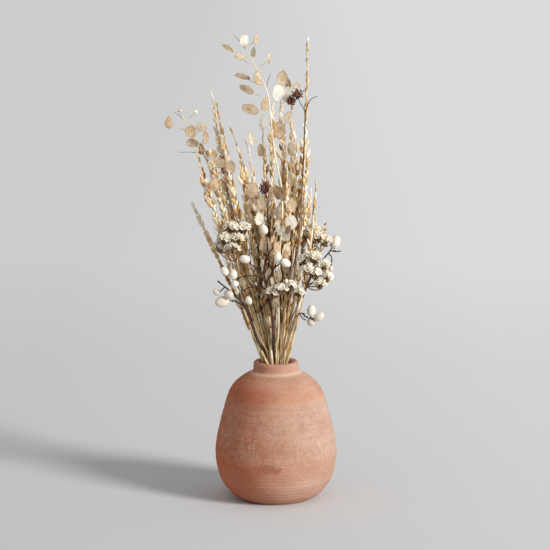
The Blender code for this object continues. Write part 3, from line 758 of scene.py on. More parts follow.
def plant_material(name, stops, rough, grain, stretch, soft=0.0, bump_by=0.3):
    """Dried plant skin: the tone attribute picks the colour, fine fibres and blotches break it up."""
    material, tree, shader = new_material(name, rough, 0.3)
    tone = tree.nodes.new("ShaderNodeAttribute")
    tone.attribute_name = "tone"
    fibre = noise(tree, grain, 4.0, stretch, 0.6)
    blotch = noise(tree, 160.0, 3.0)
    value = (Num(tree, tone.outputs["Fac"]) + (fibre - 0.5) * 0.42 + (blotch - 0.5) * 0.55).clamp()
    ramp(value, stops).into(shader.inputs["Base Color"])
    if soft:
        shader.inputs["Subsurface Weight"].default_value = soft
        shader.inputs["Subsurface Radius"].default_value = (0.004, 0.003, 0.002)
        shader.inputs["Subsurface Scale"].default_value = 1.0
    bump(shader, fibre, bump_by, 0.0006)
    return material


# Clay colour from painted shade on the left, deep and saturated, to painted light on the right, pale, where
# the key light falls.
CLAY_SHADE_TO_LIGHT = [(0.05, (0.50, 0.155, 0.080)), (0.30, (0.445, 0.170, 0.098)), (0.55, (0.485, 0.265, 0.182)),
              (0.90, (0.520, 0.335, 0.255))]
# Bands by height, as a factor on the clay colour: foot, belly, orange band, shoulder, neck.
CLAY_ZONES = [(0.00, (0.96, 0.88, 0.81)), (0.10, (1.04, 1.01, 0.98)), (0.22, (1.03, 1.0, 0.97)),
              (0.30, (0.96, 0.82, 0.74)), (0.37, (1.0, 1.0, 1.0)), (0.62, (1.02, 1.08, 1.10)),
              (0.735, (1.0, 1.03, 1.03)), (0.75, (1.0, 0.86, 0.77)), (0.82, (1.03, 0.93, 0.85)),
              (0.87, (1.04, 1.08, 1.08)), (0.91, (1.06, 1.08, 1.06)), (0.94, (1.03, 1.09, 1.13))]
# Turned stripes and clouding, as factors on the clay colour by noise value.
WIDE_STRIPES = [(0.32, (0.90, 0.85, 0.83)), (0.5, (1, 1, 1)), (0.68, (1.05, 1.06, 1.07))]
FINE_STRIPES = [(0.36, (0.88, 0.83, 0.80)), (0.5, (1, 1, 1)), (0.66, (1.05, 1.05, 1.05))]
CLOUDING = [(0.28, (0.88, 0.84, 0.82)), (0.52, (1.0, 1.0, 1.0)), (0.75, (1.06, 1.07, 1.07))]
# The rubbed part of the belly, by height.
RUBBED = [(0.26, (0, 0, 0)), (0.38, (1, 1, 1)), (0.68, (1, 1, 1)), (0.74, (0, 0, 0))]
DUST_COLOUR = (0.66, 0.46, 0.34)
SCUFF_COLOUR = (0.33, 0.135, 0.075)
SCRATCH_COLOUR = (0.74, 0.56, 0.43)
MARK_COLOUR = (0.37, 0.13, 0.075)
NECK_HIGHLIGHT_COLOUR = (0.74, 0.58, 0.46)
GROG_COLOUR = (0.84, 0.70, 0.58)
PIT_COLOUR = (0.28, 0.11, 0.06)


def clay_material():
    """Unglazed thrown clay: soft wheel bands, orange painted shade on the left and pale painted light on the
    right, a painted highlight ring at the neck, dusty rubbed belly, specks, scratches.
    """
    material, tree, shader = new_material("terracotta_clay", 0.93, 0.15)
    x, y, z = own_axes(tree)
    cloud = noise(tree, 20.0, 5.0, (1, 1, 1.5), 0.62, (0.3, 0.7, 0.1))
    bands = noise(tree, 10.0, 3.0, (0.12, 0.12, 7.0), 0.55)
    fine_bands = noise(tree, 26.0, 3.0, (0.14, 0.14, 15.0), 0.6, (3, 1, 2))
    # Painted light and shade: the right side, which faces the key light, is painted pale and pink, the shaded
    # left side deep orange.
    across = (x * 5.6 + 0.5 + (cloud - 0.5) * 0.55).clamp()
    # Height bands, moved a little by the noise so that edges are not ruled.
    height = z * 5.4 + (cloud - 0.5) * 0.05
    colour = blend_colour(1.0 - across * 0.45, ramp(across, CLAY_SHADE_TO_LIGHT), ramp(height, CLAY_ZONES), "MULTIPLY")
    colour = blend_colour(0.8, colour, ramp(bands, WIDE_STRIPES), "MULTIPLY")
    colour = blend_colour(0.35, colour, ramp(fine_bands, FINE_STRIPES), "MULTIPLY")
    colour = blend_colour(0.8, colour, ramp(cloud, CLOUDING), "MULTIPLY")
    # Rubbed belly: broken pale dust with small dark scuffs between.
    belly = ramp(height, RUBBED)
    dust = noise(tree, 85.0, 8.0, (1, 1, 1.3), 0.76, (5, 2, 7))
    wide = noise(tree, 16.0, 3.0, (1, 1, 1.4), 0.5, (1, 4, 2))
    patchy = ((wide - 0.30) * 3.2).clamp()
    powder = ((dust - 0.44) * 4.0).clamp() * patchy * belly
    colour = blend_colour(powder * 0.40, colour, DUST_COLOUR)
    scuff = ((0.43 - dust) * 5.0).clamp() * patchy * (belly + 0.25)
    colour = blend_colour(scuff * 0.48, colour, SCUFF_COLOUR)
    # Fine pale scratches, thickest on the rubbed belly.
    scrape = noise(tree, 120.0, 2.0, (1.0, 1.0, 0.55), 0.5, (2, 8, 3), 1.6)
    scratch = (1.0 - abs(scrape - 0.5) * 45.0).clamp() * patchy * (belly + 0.2)
    colour = blend_colour(scratch * 0.42, colour, SCRATCH_COLOUR)
    # Rough mark low on the front, where the pot touched its neighbour in the kiln.
    dx = (x + 0.012) * 46.0
    dz = (z - 0.0535) * 150.0
    mark = (1.0 - (dx * dx + dz * dz + (dust - 0.5) * 3.4)).clamp() * (y < 0.0)
    colour = blend_colour(mark * 0.75, colour, MARK_COLOUR)
    # Painted highlight: a pale ring where the neck meets the shoulder, strongest on the lit right side.
    ring = (1.0 - abs(z - 0.1690) * 420.0).clamp() * 0.85 * (across * 0.7 + 0.3)
    colour = blend_colour(ring, colour, NECK_HIGHLIGHT_COLOUR)
    # Pale and dark grains of grog.
    grog = add_node(tree, "ShaderNodeTexVoronoi", Scale=520.0)
    own_place(tree).into(grog.inputs["Vector"])
    grain_edge = Num(tree, grog.outputs["Distance"])
    pick = noise(tree, 330.0, 0.0, (1, 1, 1), 0.5, (9, 9, 9))
    colour = blend_colour((grain_edge < 0.20) * (pick > 0.56) * 0.5, colour, GROG_COLOUR)
    pit = (grain_edge < 0.24) * (pick < 0.42)
    colour = blend_colour(pit * 0.35, colour, PIT_COLOUR)
    colour.into(shader.inputs["Base Color"])
    relief = noise(tree, 900.0, 4.0, (1, 1, 1), 0.6) * 0.35 + fine_bands * 0.7 + dust * 0.9
    bump(shader, relief - (pit + mark) * 0.5 + scratch * 0.6, 0.8, 0.0012)
    return material


def grey(value):
    return (value, value, value)


def floor_material():
    """Matte paper sweep: pale grey, with painted light making it a little brighter to the right, a little
    brighter further back, faintly grained.
    """
    material, tree, shader = new_material("paper_sweep", 0.95, 0.05)
    x, y, _ = own_axes(tree)
    # Painted light: the floor is painted brighter towards the right, the side the key light comes from.
    tint = ramp((x * 1.25 + 0.5).clamp(), [(0.0, FLOOR_LEFT), (0.5, FLOOR_MIDDLE), (1.0, FLOOR_RIGHT)])
    depth = ramp((y * 0.2 + 0.2).clamp(), [(0.14, grey(0.875)), (0.38, grey(0.915)), (0.59, grey(1.0))])
    colour = blend_colour(1.0, tint, depth, "MULTIPLY")
    colour = blend_colour(noise(tree, 700.0, 2.0) * 0.03, colour, grey(0.5))
    colour.into(shader.inputs["Base Color"])
    return material


FLOOR_LEFT = (0.677, 0.678, 0.686)
FLOOR_MIDDLE = (0.738, 0.740, 0.748)
FLOOR_RIGHT = (0.808, 0.810, 0.816)

STRAW = plant_material("dry_straw", [
    (0.0, (0.070, 0.030, 0.010)), (0.25, (0.31, 0.165, 0.053)), (0.5, (0.67, 0.485, 0.235)),
    (0.75, (0.87, 0.745, 0.52)), (1.0, (0.92, 0.865, 0.74))], 0.55, 700.0, (1, 1, 0.10))
HUSK = plant_material("dry_husk", [
    (0.0, (0.14, 0.055, 0.015)), (0.2, (0.44, 0.215, 0.066)), (0.42, (0.71, 0.475, 0.205)),
    (0.65, (0.86, 0.69, 0.43)), (0.85, (0.91, 0.83, 0.66)), (1.0, (0.93, 0.89, 0.80))],
    0.6, 520.0, (1, 1, 0.2))
POD = plant_material("honesty_pod", [
    (0.0, (0.30, 0.14, 0.06)), (0.22, (0.44, 0.285, 0.155)), (0.5, (0.58, 0.47, 0.33)),
    (0.75, (0.74, 0.66, 0.51)), (1.0, (0.80, 0.785, 0.70))], 0.45, 260.0, (1, 1, 1), 0.12, 0.2)
TWIG = plant_material("dark_twig", [
    (0.0, (0.018, 0.008, 0.008)), (0.35, (0.055, 0.026, 0.022)), (0.65, (0.15, 0.080, 0.055)),
    (1.0, (0.42, 0.29, 0.18))], 0.6, 500.0, (1, 1, 0.15))
WAX = plant_material("waxy_berry", [
    (0.0, (0.30, 0.19, 0.10)), (0.3, (0.60, 0.50, 0.38)), (0.6, (0.74, 0.67, 0.56)),
    (1.0, (0.84, 0.80, 0.73))], 0.5, 200.0, (1, 1, 1), 0.25, 0.25)
PAPER = plant_material("papery_floret", [
    (0.0, (0.20, 0.095, 0.035)), (0.3, (0.50, 0.33, 0.17)), (0.6, (0.82, 0.715, 0.53)),
    (1.0, (0.90, 0.855, 0.74))], 0.7, 380.0, (1, 1, 1), 0.2)
SEED = plant_material("dark_seed", [
    (0.0, (0.05, 0.02, 0.015)), (0.4, (0.15, 0.055, 0.035)), (0.75, (0.30, 0.13, 0.085)),
    (1.0, (0.55, 0.36, 0.24))], 0.7, 420.0, (1, 1, 1))
BRACT = plant_material("brown_bract", [
    (0.0, (0.06, 0.028, 0.010)), (0.35, (0.19, 0.10, 0.036)), (0.7, (0.40, 0.26, 0.115)),
    (1.0, (0.64, 0.49, 0.27))], 0.7, 520.0, (1, 1, 0.3))
CLAY = clay_material()


# ---------------------------------------------------------------- plant pieces
def stem_line(piece, step=3.0):
    """Smooth line of the stem, straight in the vase, and its run from the foot."""
    path = [np.asarray(p, float) for p in piece["path"]]
    foot, bend = path[0], path[1]
    tight = bend + unit(foot - bend) * 14.0
    curve = smooth_line([tight] + path[1:], step)
    line = np.concatenate([[foot], [foot + (tight - foot) * k / 4 for k in (1, 2, 3)], curve])
    return line, run_of(line)


def run_of(line):
    return np.concatenate([[0.0], np.cumsum(np.linalg.norm(np.diff(line, axis=0), axis=1))])


def on_line(spots, run, line):
    """Points of the line at the given runs."""
    return np.stack([np.interp(spots, run, line[:, k]) for k in range(3)], axis=-1)


def at_height(height, line):
    return on_line(height, line[:, 2], line)


def taper(run, stops, radii):
    """Radii by distance from the tip; the last radius is that of the foot."""
    return np.interp(run[-1] - run, [*stops, run[-1]], radii)


def limit(tone, low=0.03, high=0.98):
    return float(np.clip(tone, low, high))


def husk_tone(rng, warm):
    """Most husks are golden, some bleached to cream, some brown."""
    pick = rng.random()
    if pick < 0.32:
        return rng.normal(0.84, 0.07)
    if pick < 0.50:
        return rng.normal(0.20, 0.07)
    return rng.normal(0.50, 0.11) + warm


def sheath(shape, line, run, start, length, rng):
    """Leaf base wrapped round the straw, with a loose open lip."""
    path = on_line(np.linspace(start, start + length, 7), run, line)
    radii = np.array([1.55, 1.85, 1.75, 1.65, 1.60, 1.75, 1.45]) * rng.uniform(0.9, 1.06)
    tone = rng.uniform(0.45, 0.95)
    shape.tube(path, radii, 8, tone + np.array([-0.35, -0.1, 0, 0.05, 0.05, 0.0, -0.2]), 0, 0.10)


def blade_leaf(shape, line, run, start, length, rng):
    """Narrow dry leaf, folded along its middle, that leaves the straw at a small angle."""
    rings, tones = [], []
    out = unit((rng.normal(), rng.normal() * 0.6, 0.0))
    shade = rng.uniform(0.12, 0.95)
    broad = rng.uniform(1.2, 2.8)
    away = rng.uniform(1.5, 8.0)
    for k in range(9):
        t = k / 8
        spot = on_line(start + length * t, run, line)
        axis = unit(on_line(start + length * t + 3.0, run, line) - spot)
        o = unit(out - axis * np.dot(out, axis))
        centre = spot + o * (1.1 + away * t * t)
        wide = broad * (1.0 - t ** 2.2) * min(1.0, 0.4 + 2.0 * t) + 0.15
        side = np.cross(axis, o) * wide + o * 0.35 * math.sin(t * 7.0 + shade * 9.0)
        rings.append(np.array([centre - o * 0.25, centre - side, centre + o * 0.45, centre + side]))
        tones.append(shade + 0.12 * t - 0.2 * (t < 0.1))
    shape.rings(rings, tones, 0)


# Size of the husks and the step between them by height in the head: fullest at two fifths,
# thinning out to single husks.
HEAD_RISE = [0.0, 0.12, 0.40, 0.75, 1.0]
HUSK_SIZE = [0.95, 1.20, 1.35, 1.05, 0.75]
STEP_RISE = [0.0, 0.3, 0.7, 1.0]
HUSK_STEP = [4.6, 3.7, 4.6, 6.0]
# Tone and width of the flat beads on the loose stem.
BEAD_RISE = [0.0, 0.55, 0.8, 1.0]
BEAD_TONE = [0.17, 0.24, 0.66, 0.95]
LOW_HUSK_TONES = [0.06, 0.16, 0.24, 0.34, 0.50, 0.86]


def grass_piece(piece, rng):
    """Straw with joints, sheaths and dry leaves, and husks set unevenly up the head."""
    shape = Shape()
    line, run = stem_line(piece)
    total = run[-1]
    beads = piece["name"] == "grass_stem_left"
    small = piece["name"].startswith("bead")
    head = piece["head"] * rng.uniform(1.05, 1.35) + 20.0
    if piece["name"] == "grass_stem_01":
        head = piece["head"] + 10.0
    warm = rng.uniform(-0.14, 0.12)
    radii = taper(run, (0.0, 8.0, head, head + 60.0), [0.25, 0.45, 0.85, 1.35, 1.60])
    if beads:
        radii = taper(run, (0.0, 8.0, head, head + 30.0), [0.35, 0.7, 1.15, 1.5, 1.60])
    for joint in rng.uniform(total * 0.30, total * 0.6, 3):
        radii = radii + 0.30 * np.exp(-((run - joint) / 1.8) ** 2)
    straw = rng.uniform(0.40, 0.86) + warm * 0.5
    streak = 0.14 * np.sin(run * 0.045 + rng.uniform(0, 6)) + 0.08 * np.sin(run * 0.21 + rng.uniform(0, 6))
    shape.tube(line, radii, 8, straw + streak, 0, 0.07)
    tangent = np.gradient(line, axis=0)
    turn = rng.uniform(0, math.pi)
    place, side = total - head, 1.0
    while place < total - 3.0:
        i = min(int(np.searchsorted(run, place)), len(line) - 1)
        t = unit(tangent[i])
        a, b = frame_of(t)
        angle = turn + place * 0.015 + rng.normal(0, 0.45)
        out = (math.cos(angle) * a + math.sin(angle) * b) * side
        flat = np.cross(t, out) + rng.normal(0, 0.25, 3)
        rise = (place - (total - head)) / head
        size = np.interp(rise, HEAD_RISE, HUSK_SIZE) * math.exp(rng.normal(0, 0.20))
        base = line[i] + out * 0.5
        tone = limit(husk_tone(rng, warm))
        if beads:
            bead_tone = float(np.interp(rise, BEAD_RISE, BEAD_TONE) + rng.normal(0, 0.05))
            wide = float(np.interp(rise, [0.0, 0.6, 1.0], [2.9, 2.6, 1.5]))
            for way in (out, -out):
                shape.husk(line[i] + way * 0.8, t + way * 0.22, flat, rng.uniform(9.0, 11.0),
                           wide, wide * 0.8, bead_tone, 1, 8)
            place += 8.2 * rng.uniform(0.9, 1.1)
        elif small:
            shape.husk(base, t + out * 0.8, flat, 4.8 * size, 1.6, 1.4, rng.uniform(0.2, 0.6), 1)
            place += 3.4 * rng.uniform(0.8, 1.2)
        else:
            spread = (abs(rng.normal(0.24, 0.14)) + 0.08) * (1.0 - 0.75 * max(0.0, rise - 0.7) / 0.3)
            tone = min(0.98, tone + 0.5 * max(0.0, rise - 0.8))
            shape.husk(base, t + out * spread, flat, rng.uniform(7.5, 11.0) * size,
                       1.9 * size, 1.15 * size, tone, 1, 6, rng.uniform(-1, 1))
            if rng.random() < 0.62 * (1.35 - rise):
                wider = spread + rng.uniform(0.1, 0.6) * (1.1 - rise)
                lift = unit(t + out * wider + b * rng.normal(0, 0.2))
                length = rng.uniform(6.0, 10.0)
                paler = min(0.98, tone + rng.uniform(0.05, 0.35))
                shape.husk(base + t * 1.5, lift, flat, length, 1.4 * size, 0.55, paler, 1, 5)
            place += float(np.interp(rise, STEP_RISE, HUSK_STEP)) * rng.uniform(0.6, 1.5)
        side = -side
    shape.husk(line[-1] - tangent[-1], tangent[-1], (0, -1, 0), 6.0, 0.9, 0.7, 0.9, 1)
    if beads or small:
        return shape, [STRAW, HUSK]
    # Brown and rust husks and dry leaves fill the straw between the neck and the head.
    low = float(np.interp(205.0, line[:, 2], run))
    for spot in np.arange(max(low + 48.0, total - head - 190.0), total - head, 5.0):
        i = min(int(np.searchsorted(run, spot + rng.uniform(-4, 4))), len(line) - 1)
        out = unit(rng.normal(size=3) * (1, 1, 0.2))
        tone = limit(rng.choice(LOW_HUSK_TONES) + rng.normal(0, 0.04), 0.03, 0.97)
        axis = unit(tangent[i]) + out * rng.uniform(0.15, 0.5)
        flat = rng.normal(size=3)
        shape.husk(line[i] + out * 0.7, axis, flat, rng.uniform(8, 14), 2.3, 0.9, tone, 1)
    for _ in range(2):
        sheath(shape, line, run, low + rng.uniform(0.0, 90.0), rng.uniform(22.0, 42.0), rng)
    for _ in range(6):
        blade_leaf(shape, line, run, low + rng.uniform(0.0, 150.0), rng.uniform(28.0, 70.0), rng)
    return shape, [STRAW, HUSK]


# Visible pods are a little larger than the discs they stand for.
POD_GROWTH = np.array([1.22, 1.0, 1.18])
# Pod section from the middle to the rim: part of the radius, half thickness.
POD_LEVELS = [(0.02, 0.30), (0.3, 0.30), (0.55, 0.28), (0.78, 0.26), (0.90, 0.42), (0.97, 0.45), (1.0, 0.2)]


def pod_disc(shape, centre, size, turn, tilt, tone, rng):
    """Flat seed pod: thin papery middle with seed bumps, a raised rim and a small beak."""
    spin = np.array(Euler([math.radians(d) for d in (tilt * 0.3, tilt, turn)]).to_matrix())
    seeds = [(rng.uniform(-0.35, 0.35), rng.uniform(-0.5, 0.5)) for _ in range(rng.integers(1, 4))]
    angles = circle(22)
    cup, twist, lean = rng.uniform(-1.2, 1.2), rng.uniform(-0.8, 0.8), rng.uniform(-0.18, 0.18)
    wavy = 0.05 * np.sin(5 * angles + rng.uniform(0, 6)) + 0.04 * np.sin(9 * angles + rng.uniform(0, 6))
    # A little uneven across the shorter side.
    narrow = rng.uniform(0.80, 0.98)
    thin_x, thin_z = (narrow, 1.0) if size[0] <= size[2] else (1.0, narrow)
    size = np.array(size) * POD_GROWTH
    rings, tones = [], []
    for r, h in POD_LEVELS + [(r, -h) for r, h in reversed(POD_LEVELS)]:
        x = r * np.cos(angles) * thin_x * (1.0 + wavy)
        z = r * np.sin(angles) * thin_z * (1.0 + 0.10 * np.sin(angles) + wavy)
        lump = 0.0
        if r < 0.95:
            for sx, sz in seeds:
                lump = lump + 0.65 * np.exp(-(((x - sx) * size[0]) ** 2 + ((z - sz) * size[2]) ** 2) / 2.2)
        y = h + math.copysign(1.0, h) * lump + cup * (r * r - 0.4) + twist * x * z * 2.0 + wavy * r * 3.0
        local = np.stack([(x + lean * z * z) * size[0], y, z * size[2]], axis=1)
        rings.append(np.asarray(centre) + local @ spin.T)
        tones.append(tone - (0.14 if r > 0.85 else 0.0) - (0.05 if r < 0.4 else 0.0))
    shape.rings(rings, tones, 1)
    tip = np.asarray(centre) + spin @ np.array([lean * size[0], 0.0, size[2] * 1.05])
    shape.tube([tip, tip + spin @ np.array([0.2, 0.0, 3.0])], [0.24, 0.08], 5, tone - 0.3, 1)


def twig_tube(shape, twig, thick, thin, tone, rng, sides=7, sway=0.25):
    """Knotty side twig."""
    line = smooth_line(twig, 2.2)
    run = run_of(line)
    line[1:-1] += rng.normal(0, sway, (len(line) - 2, 3)) * 0.5
    radii = np.interp(run, [0.0, run[-1]], [thick, thin])
    radii = radii * (1.0 + 0.22 * np.clip(np.sin(run * 0.9 + rng.uniform(0, 6)), 0, 1))
    shape.tube(line, radii, sides, tone + 0.1 * np.sin(run * 0.4), 0, 0.08)


def fine_twig(shape, root, tip, lift, thick, thin, tone, rng, sides=5):
    """Thin twig whose middle is lifted or sags."""
    root, tip = np.asarray(root, float), np.asarray(tip, float)
    twig_tube(shape, [root, (root + tip) * 0.5 + (0, 0, lift), tip], thick, thin, tone, rng, sides, 0.1)


# How bleached every pod is.
PALE_PODS = {
    "honesty_tall": [0.95, 0.48, 0.80, 0.30, 0.48, 0.36, 0.44, 0.40, 0.42, 0.42, 0.90, 0.70, 0.62, 0.50],
    "honesty_centre": [0.44, 0.46, 0.93, 0.95, 0.40, 0.46, 0.50, 0.66],
    "honesty_left": [0.38, 0.38, 0.44, 0.52, 0.34, 0.32, 0.80, 0.55, 0.52, 0.36, 0.60, 0.38],
    "honesty_inner": [0.40, 0.46, 0.42, 0.40, 0.92, 0.44, 0.92, 0.60, 0.40, 0.85],
}
LOW_VALVES = {"honesty_tall": 10, "honesty_centre": 10, "honesty_left": 9, "honesty_inner": 12}
VALVE_TONES = [0.16, 0.24, 0.34, 0.50, 0.78]
# Thin bare side spurs: where they leave the branch and their tip, whose depth comes from the branch.
SPURS = {
    "honesty_tall": [((-41, -19, 597), (-54, 0, 612)), ((-14, -30, 545), (-7, 0, 564))],
    "honesty_left": [((-98, 0, 456), (-126, 0, 459)), ((-117, -8, 500), (-131, 0, 512))],
}


def honesty_piece(piece, rng):
    shape = Shape()
    name = piece["name"]
    line, run = stem_line(piece)
    radii = taper(run, (0.0, 40.0, 200.0), [0.42, 0.75, 1.15, 1.5])
    shape.tube(line, radii, 8, 0.76 + 0.12 * np.sin(run * 0.05), 0, 0.05)
    for root, tip in piece["twigs"]:
        fine_twig(shape, root, tip, -1.2, 0.45, 0.28, 0.5, rng, 6)
    for pale, (centre, size, turn, tilt) in zip(PALE_PODS[name], piece["balls"]):
        pod_disc(shape, centre, size, turn, tilt, pale + rng.normal(0, 0.04), rng)
    # Outer valves that have let go of their pods, brown and leaf-like, low on the branch.
    for _ in range(LOW_VALVES[name]):
        height = rng.uniform(252.0, min(430.0, line[-1][2] - 60.0))
        spot = at_height(height, line) + np.array([rng.normal(0, 8.0), -abs(rng.normal(5.0, 4.0)), 0.0])
        fine_twig(shape, at_height(height - 10.0, line), spot, 0.0, 0.4, 0.28, 0.5, rng)
        form = (rng.uniform(3.2, 5.0), 1.1, rng.uniform(5.5, 8.5))
        turn, tilt = rng.uniform(-50, 50), rng.uniform(-40, 40)
        pod_disc(shape, spot, form, turn, tilt, rng.choice(VALVE_TONES), rng)
    for root, tip in SPURS.get(name, []):
        root = nearest_on([piece["path"][1:]], root)
        fine_twig(shape, root, (tip[0], root[1], tip[2]), 1.0, 0.40, 0.22, 0.08, rng)
    # Bare side twigs, high on the branch.
    for _ in range(3 if name != "honesty_inner" else 0):
        root = line[int(len(line) * rng.uniform(0.75, 0.96))]
        way = unit([rng.uniform(-1, 1), rng.uniform(-0.4, 0.4), rng.uniform(0.5, 1.1)])
        fine_twig(shape, root, root + way * rng.uniform(6, 11), 0.5, 0.32, 0.2, 0.35, rng)
    return shape, [STRAW, POD]


# Growth of the berries over the balls they stand for, how pale they are, and the wood's radius at the neck.
BERRIES = {"tallow_sprig_front": (1.10, 0.82, 2.3), "tallow_sprig_left": (1.10, 0.58, 1.7),
           "tallow_sprig_far_right": (1.10, 0.66, 1.15), "tallow_sprig_right": (1.08, 0.76, 1.15)}


def berry(shape, centre, size, away, tone, rng):
    """Waxy three-lobed berry with a small point, and bits of its dark case at the base."""
    a, b = frame_of(away)
    away = unit(away)
    angles = circle(18)
    rings, tones = [], []
    start = rng.uniform(0, 2)
    for k in range(15):
        t = 0.03 + 0.94 * k / 14
        along = -math.cos(math.pi * t)
        round_r = math.sin(math.pi * t) ** 0.92
        wide = size[0] * round_r * (1.0 + 0.045 * np.cos(3 * (angles + start)) * round_r)
        point = 0.10 * max(0.0, along - 0.55) * 2.0
        rings.append(ring_at(centre + away * size[2] * (along * 1.02 + point), angles, a, b, wide, wide))
        tones.append(tone - 0.35 * max(0.0, 0.18 - t) / 0.18)
    shape.rings(rings, tones, 1)
    for k in range(3):
        angle = start + k * 2.09
        side = math.cos(angle) * a + math.sin(angle) * b
        if rng.random() < 0.8:
            case = centre - away * size[2] * 1.05 + side * 0.3
            length = size[0] * rng.uniform(0.7, 1.25)
            shape.husk(case, side + away * 0.8, away, length, 1.6, 0.5, rng.uniform(0.45, 0.8), 0)


def tallow_piece(piece, rng):
    shape = Shape()
    line, run = stem_line(piece)
    growth, pale, thick = BERRIES[piece["name"]]
    radii = np.interp(line[:, 2], [170.0, 205.0, line[-1][2]], [1.45, thick, 0.95])
    radii = radii * (1.0 + 0.16 * np.clip(np.sin(run * 0.33), 0, 1) ** 4)
    # Bleached near the neck on the thin sprigs, dark wood above.
    bleach = 0.0 if thick > 1.5 else 0.5
    tone = np.interp(line[:, 2], [180.0, 250.0, 285.0], [0.46 + bleach, 0.34 + bleach * 0.6, 0.28])
    shape.tube(line, radii, 9, tone + 0.10 * np.sin(run * 0.06), 0, 0.06)
    twigs = piece["twigs"]
    for twig in twigs:
        twig_tube(shape, twig, 1.05 if thick > 1.5 else 0.85, 0.6, 0.24, rng)
    for centre, size, _, _ in piece["balls"]:
        roots = [t[0] for t in twigs if math.dist(t[-1], centre) < 0.01]
        roots.append(nearest_on([piece["path"][1:]] + twigs, centre))
        away = unit(np.subtract(centre, roots[0])) + (0, 0, 0.25)
        form = np.array(size) * growth * rng.uniform(0.96, 1.05) * (0.94, 0.94, 1.10)
        berry(shape, np.asarray(centre), form, away, rng.uniform(pale - 0.14, pale + 0.12), rng)
    # Buds and broken spurs along the wood.
    for _ in range(9):
        twig = twigs[int(rng.integers(len(twigs)))]
        spot = np.asarray(twig[0]) + np.subtract(twig[-1], twig[0]) * rng.uniform(0.2, 0.9)
        way = unit(rng.normal(size=3))
        shape.husk(nearest_on([twig], spot), way, (0, -1, 0), rng.uniform(1.8, 3.2), 0.8, 0.7, 0.15, 0, 5)
    return shape, [TWIG, WAX]


# Floret section from the foot to the rim: part of the radius, height.
FLORET_PROFILE = [(0.12, 0.0), (0.42, 0.30), (0.80, 0.62), (1.0, 0.80)]
STATICE_SHADE = {"statice_right_high": -0.16, "statice_left": -0.04}


def floret(shape, base, axis, size, tone, rng):
    """Papery cup with crinkled lobes, closed as a thin shell."""
    a, b = frame_of(axis, unit(rng.normal(size=3)))
    axis = unit(axis)
    angles = circle(15)
    crinkle = rng.normal(0, 0.15, 15)
    ruffle = rng.normal(0, 0.10, 15)
    inside = [(r - 0.05, h + 0.08) for r, h in reversed(FLORET_PROFILE)]
    rings, tones = [], []
    for step, (r, h) in enumerate(FLORET_PROFILE + inside):
        radius = max(0.03, r) * size * (1.0 + (0.14 * np.cos(5 * angles) + crinkle) * r)
        height = h * size * (1.0 + (0.20 * np.sin(5 * angles + 0.6) + crinkle) * r) + ruffle * size * r
        rings.append(ring_at(base, angles, a, b, radius, radius) + np.outer(height, axis))
        # The underside and the middle of each cup are darker towards the foot: partly the brown calyx, partly
        # painted shade inside and under the cup.
        tones.append(tone - 0.26 * (1.0 - r) if step > 3 else tone - 0.62 * (1.0 - r) - 0.12)
    shape.rings(rings, tones, 1)


def statice_piece(piece, rng):
    """Wiry branchlets rise to domed clusters of papery cups, with a fan of brown bracts below."""
    shape = Shape()
    line, run = stem_line(piece)
    shape.tube(line, taper(run, (0.0, 60.0), [0.8, 1.15, 1.5]), 8, 0.62 + 0.14 * np.sin(run * 0.07), 0, 0.12)
    shift = STATICE_SHADE.get(piece["name"], 0.0)
    for (root, *_), (centre, size, _, _) in zip(piece["twigs"], piece["balls"]):
        centre, root = np.asarray(centre), np.asarray(root)
        hub = centre + np.array([0, 0, -size[2] * 1.7])
        twig_tube(shape, [root, (root + hub) * 0.5 + (0, 0, -2.0), hub], 0.8, 0.6, 0.5, rng)
        count = int(9 + size[0] * 1.3)
        for k in range(count):
            ring = math.sqrt((k + 0.3) / count)
            angle = k * 2.39996 + rng.normal(0, 0.25)
            up = math.sqrt(max(0.0, 1.08 - ring * ring))
            dome = np.array([math.cos(angle) * ring, math.sin(angle) * ring, up])
            reach = np.array([size[0], size[1], size[2] * 1.15]) * rng.uniform(0.78, 0.98)
            spot = centre + dome * reach - (0, 0, size[2] * 0.25)
            out = unit(dome + (0, 0, 0.15) + rng.normal(0, 0.18, 3))
            start = hub + (spot - hub) * 0.10
            middle = (start + spot) * 0.5 - (0, 0, 0.8 * up)
            shape.tube([start, middle, spot - out], [0.5, 0.42, 0.5], 5, 0.45, 0)
            # Brown bracts clasp the foot of every cup.
            for _ in range(2):
                leaf = unit(out + rng.normal(0, 0.45, 3))
                foot = spot - out * rng.uniform(3.0, 4.6)
                flat, length = rng.normal(size=3), rng.uniform(3.5, 5.0)
                shape.husk(foot, leaf, flat, length, 1.2, 0.7, rng.uniform(0.25, 0.75), 0)
            cup = rng.uniform(3.4, 4.8)
            floret(shape, spot - out * 1.4, out, cup, rng.uniform(0.78, 1.05) + shift, rng)
        # Bract fan between the hub and the cups.
        for _ in range(16):
            angle = rng.uniform(0, 2 * math.pi)
            way = unit((math.cos(angle) * 0.8, math.sin(angle) * 0.8, rng.uniform(0.5, 1.3)))
            foot = hub + way * rng.uniform(0.5, 4.5)
            leaf = way + rng.normal(0, 0.2, 3)
            flat, length = rng.normal(size=3), rng.uniform(4.5, 7.0)
            shape.husk(foot, leaf, flat, length, 1.1, 0.6, rng.uniform(0.1, 0.8), 0)
    return shape, [BRACT, PAPER]


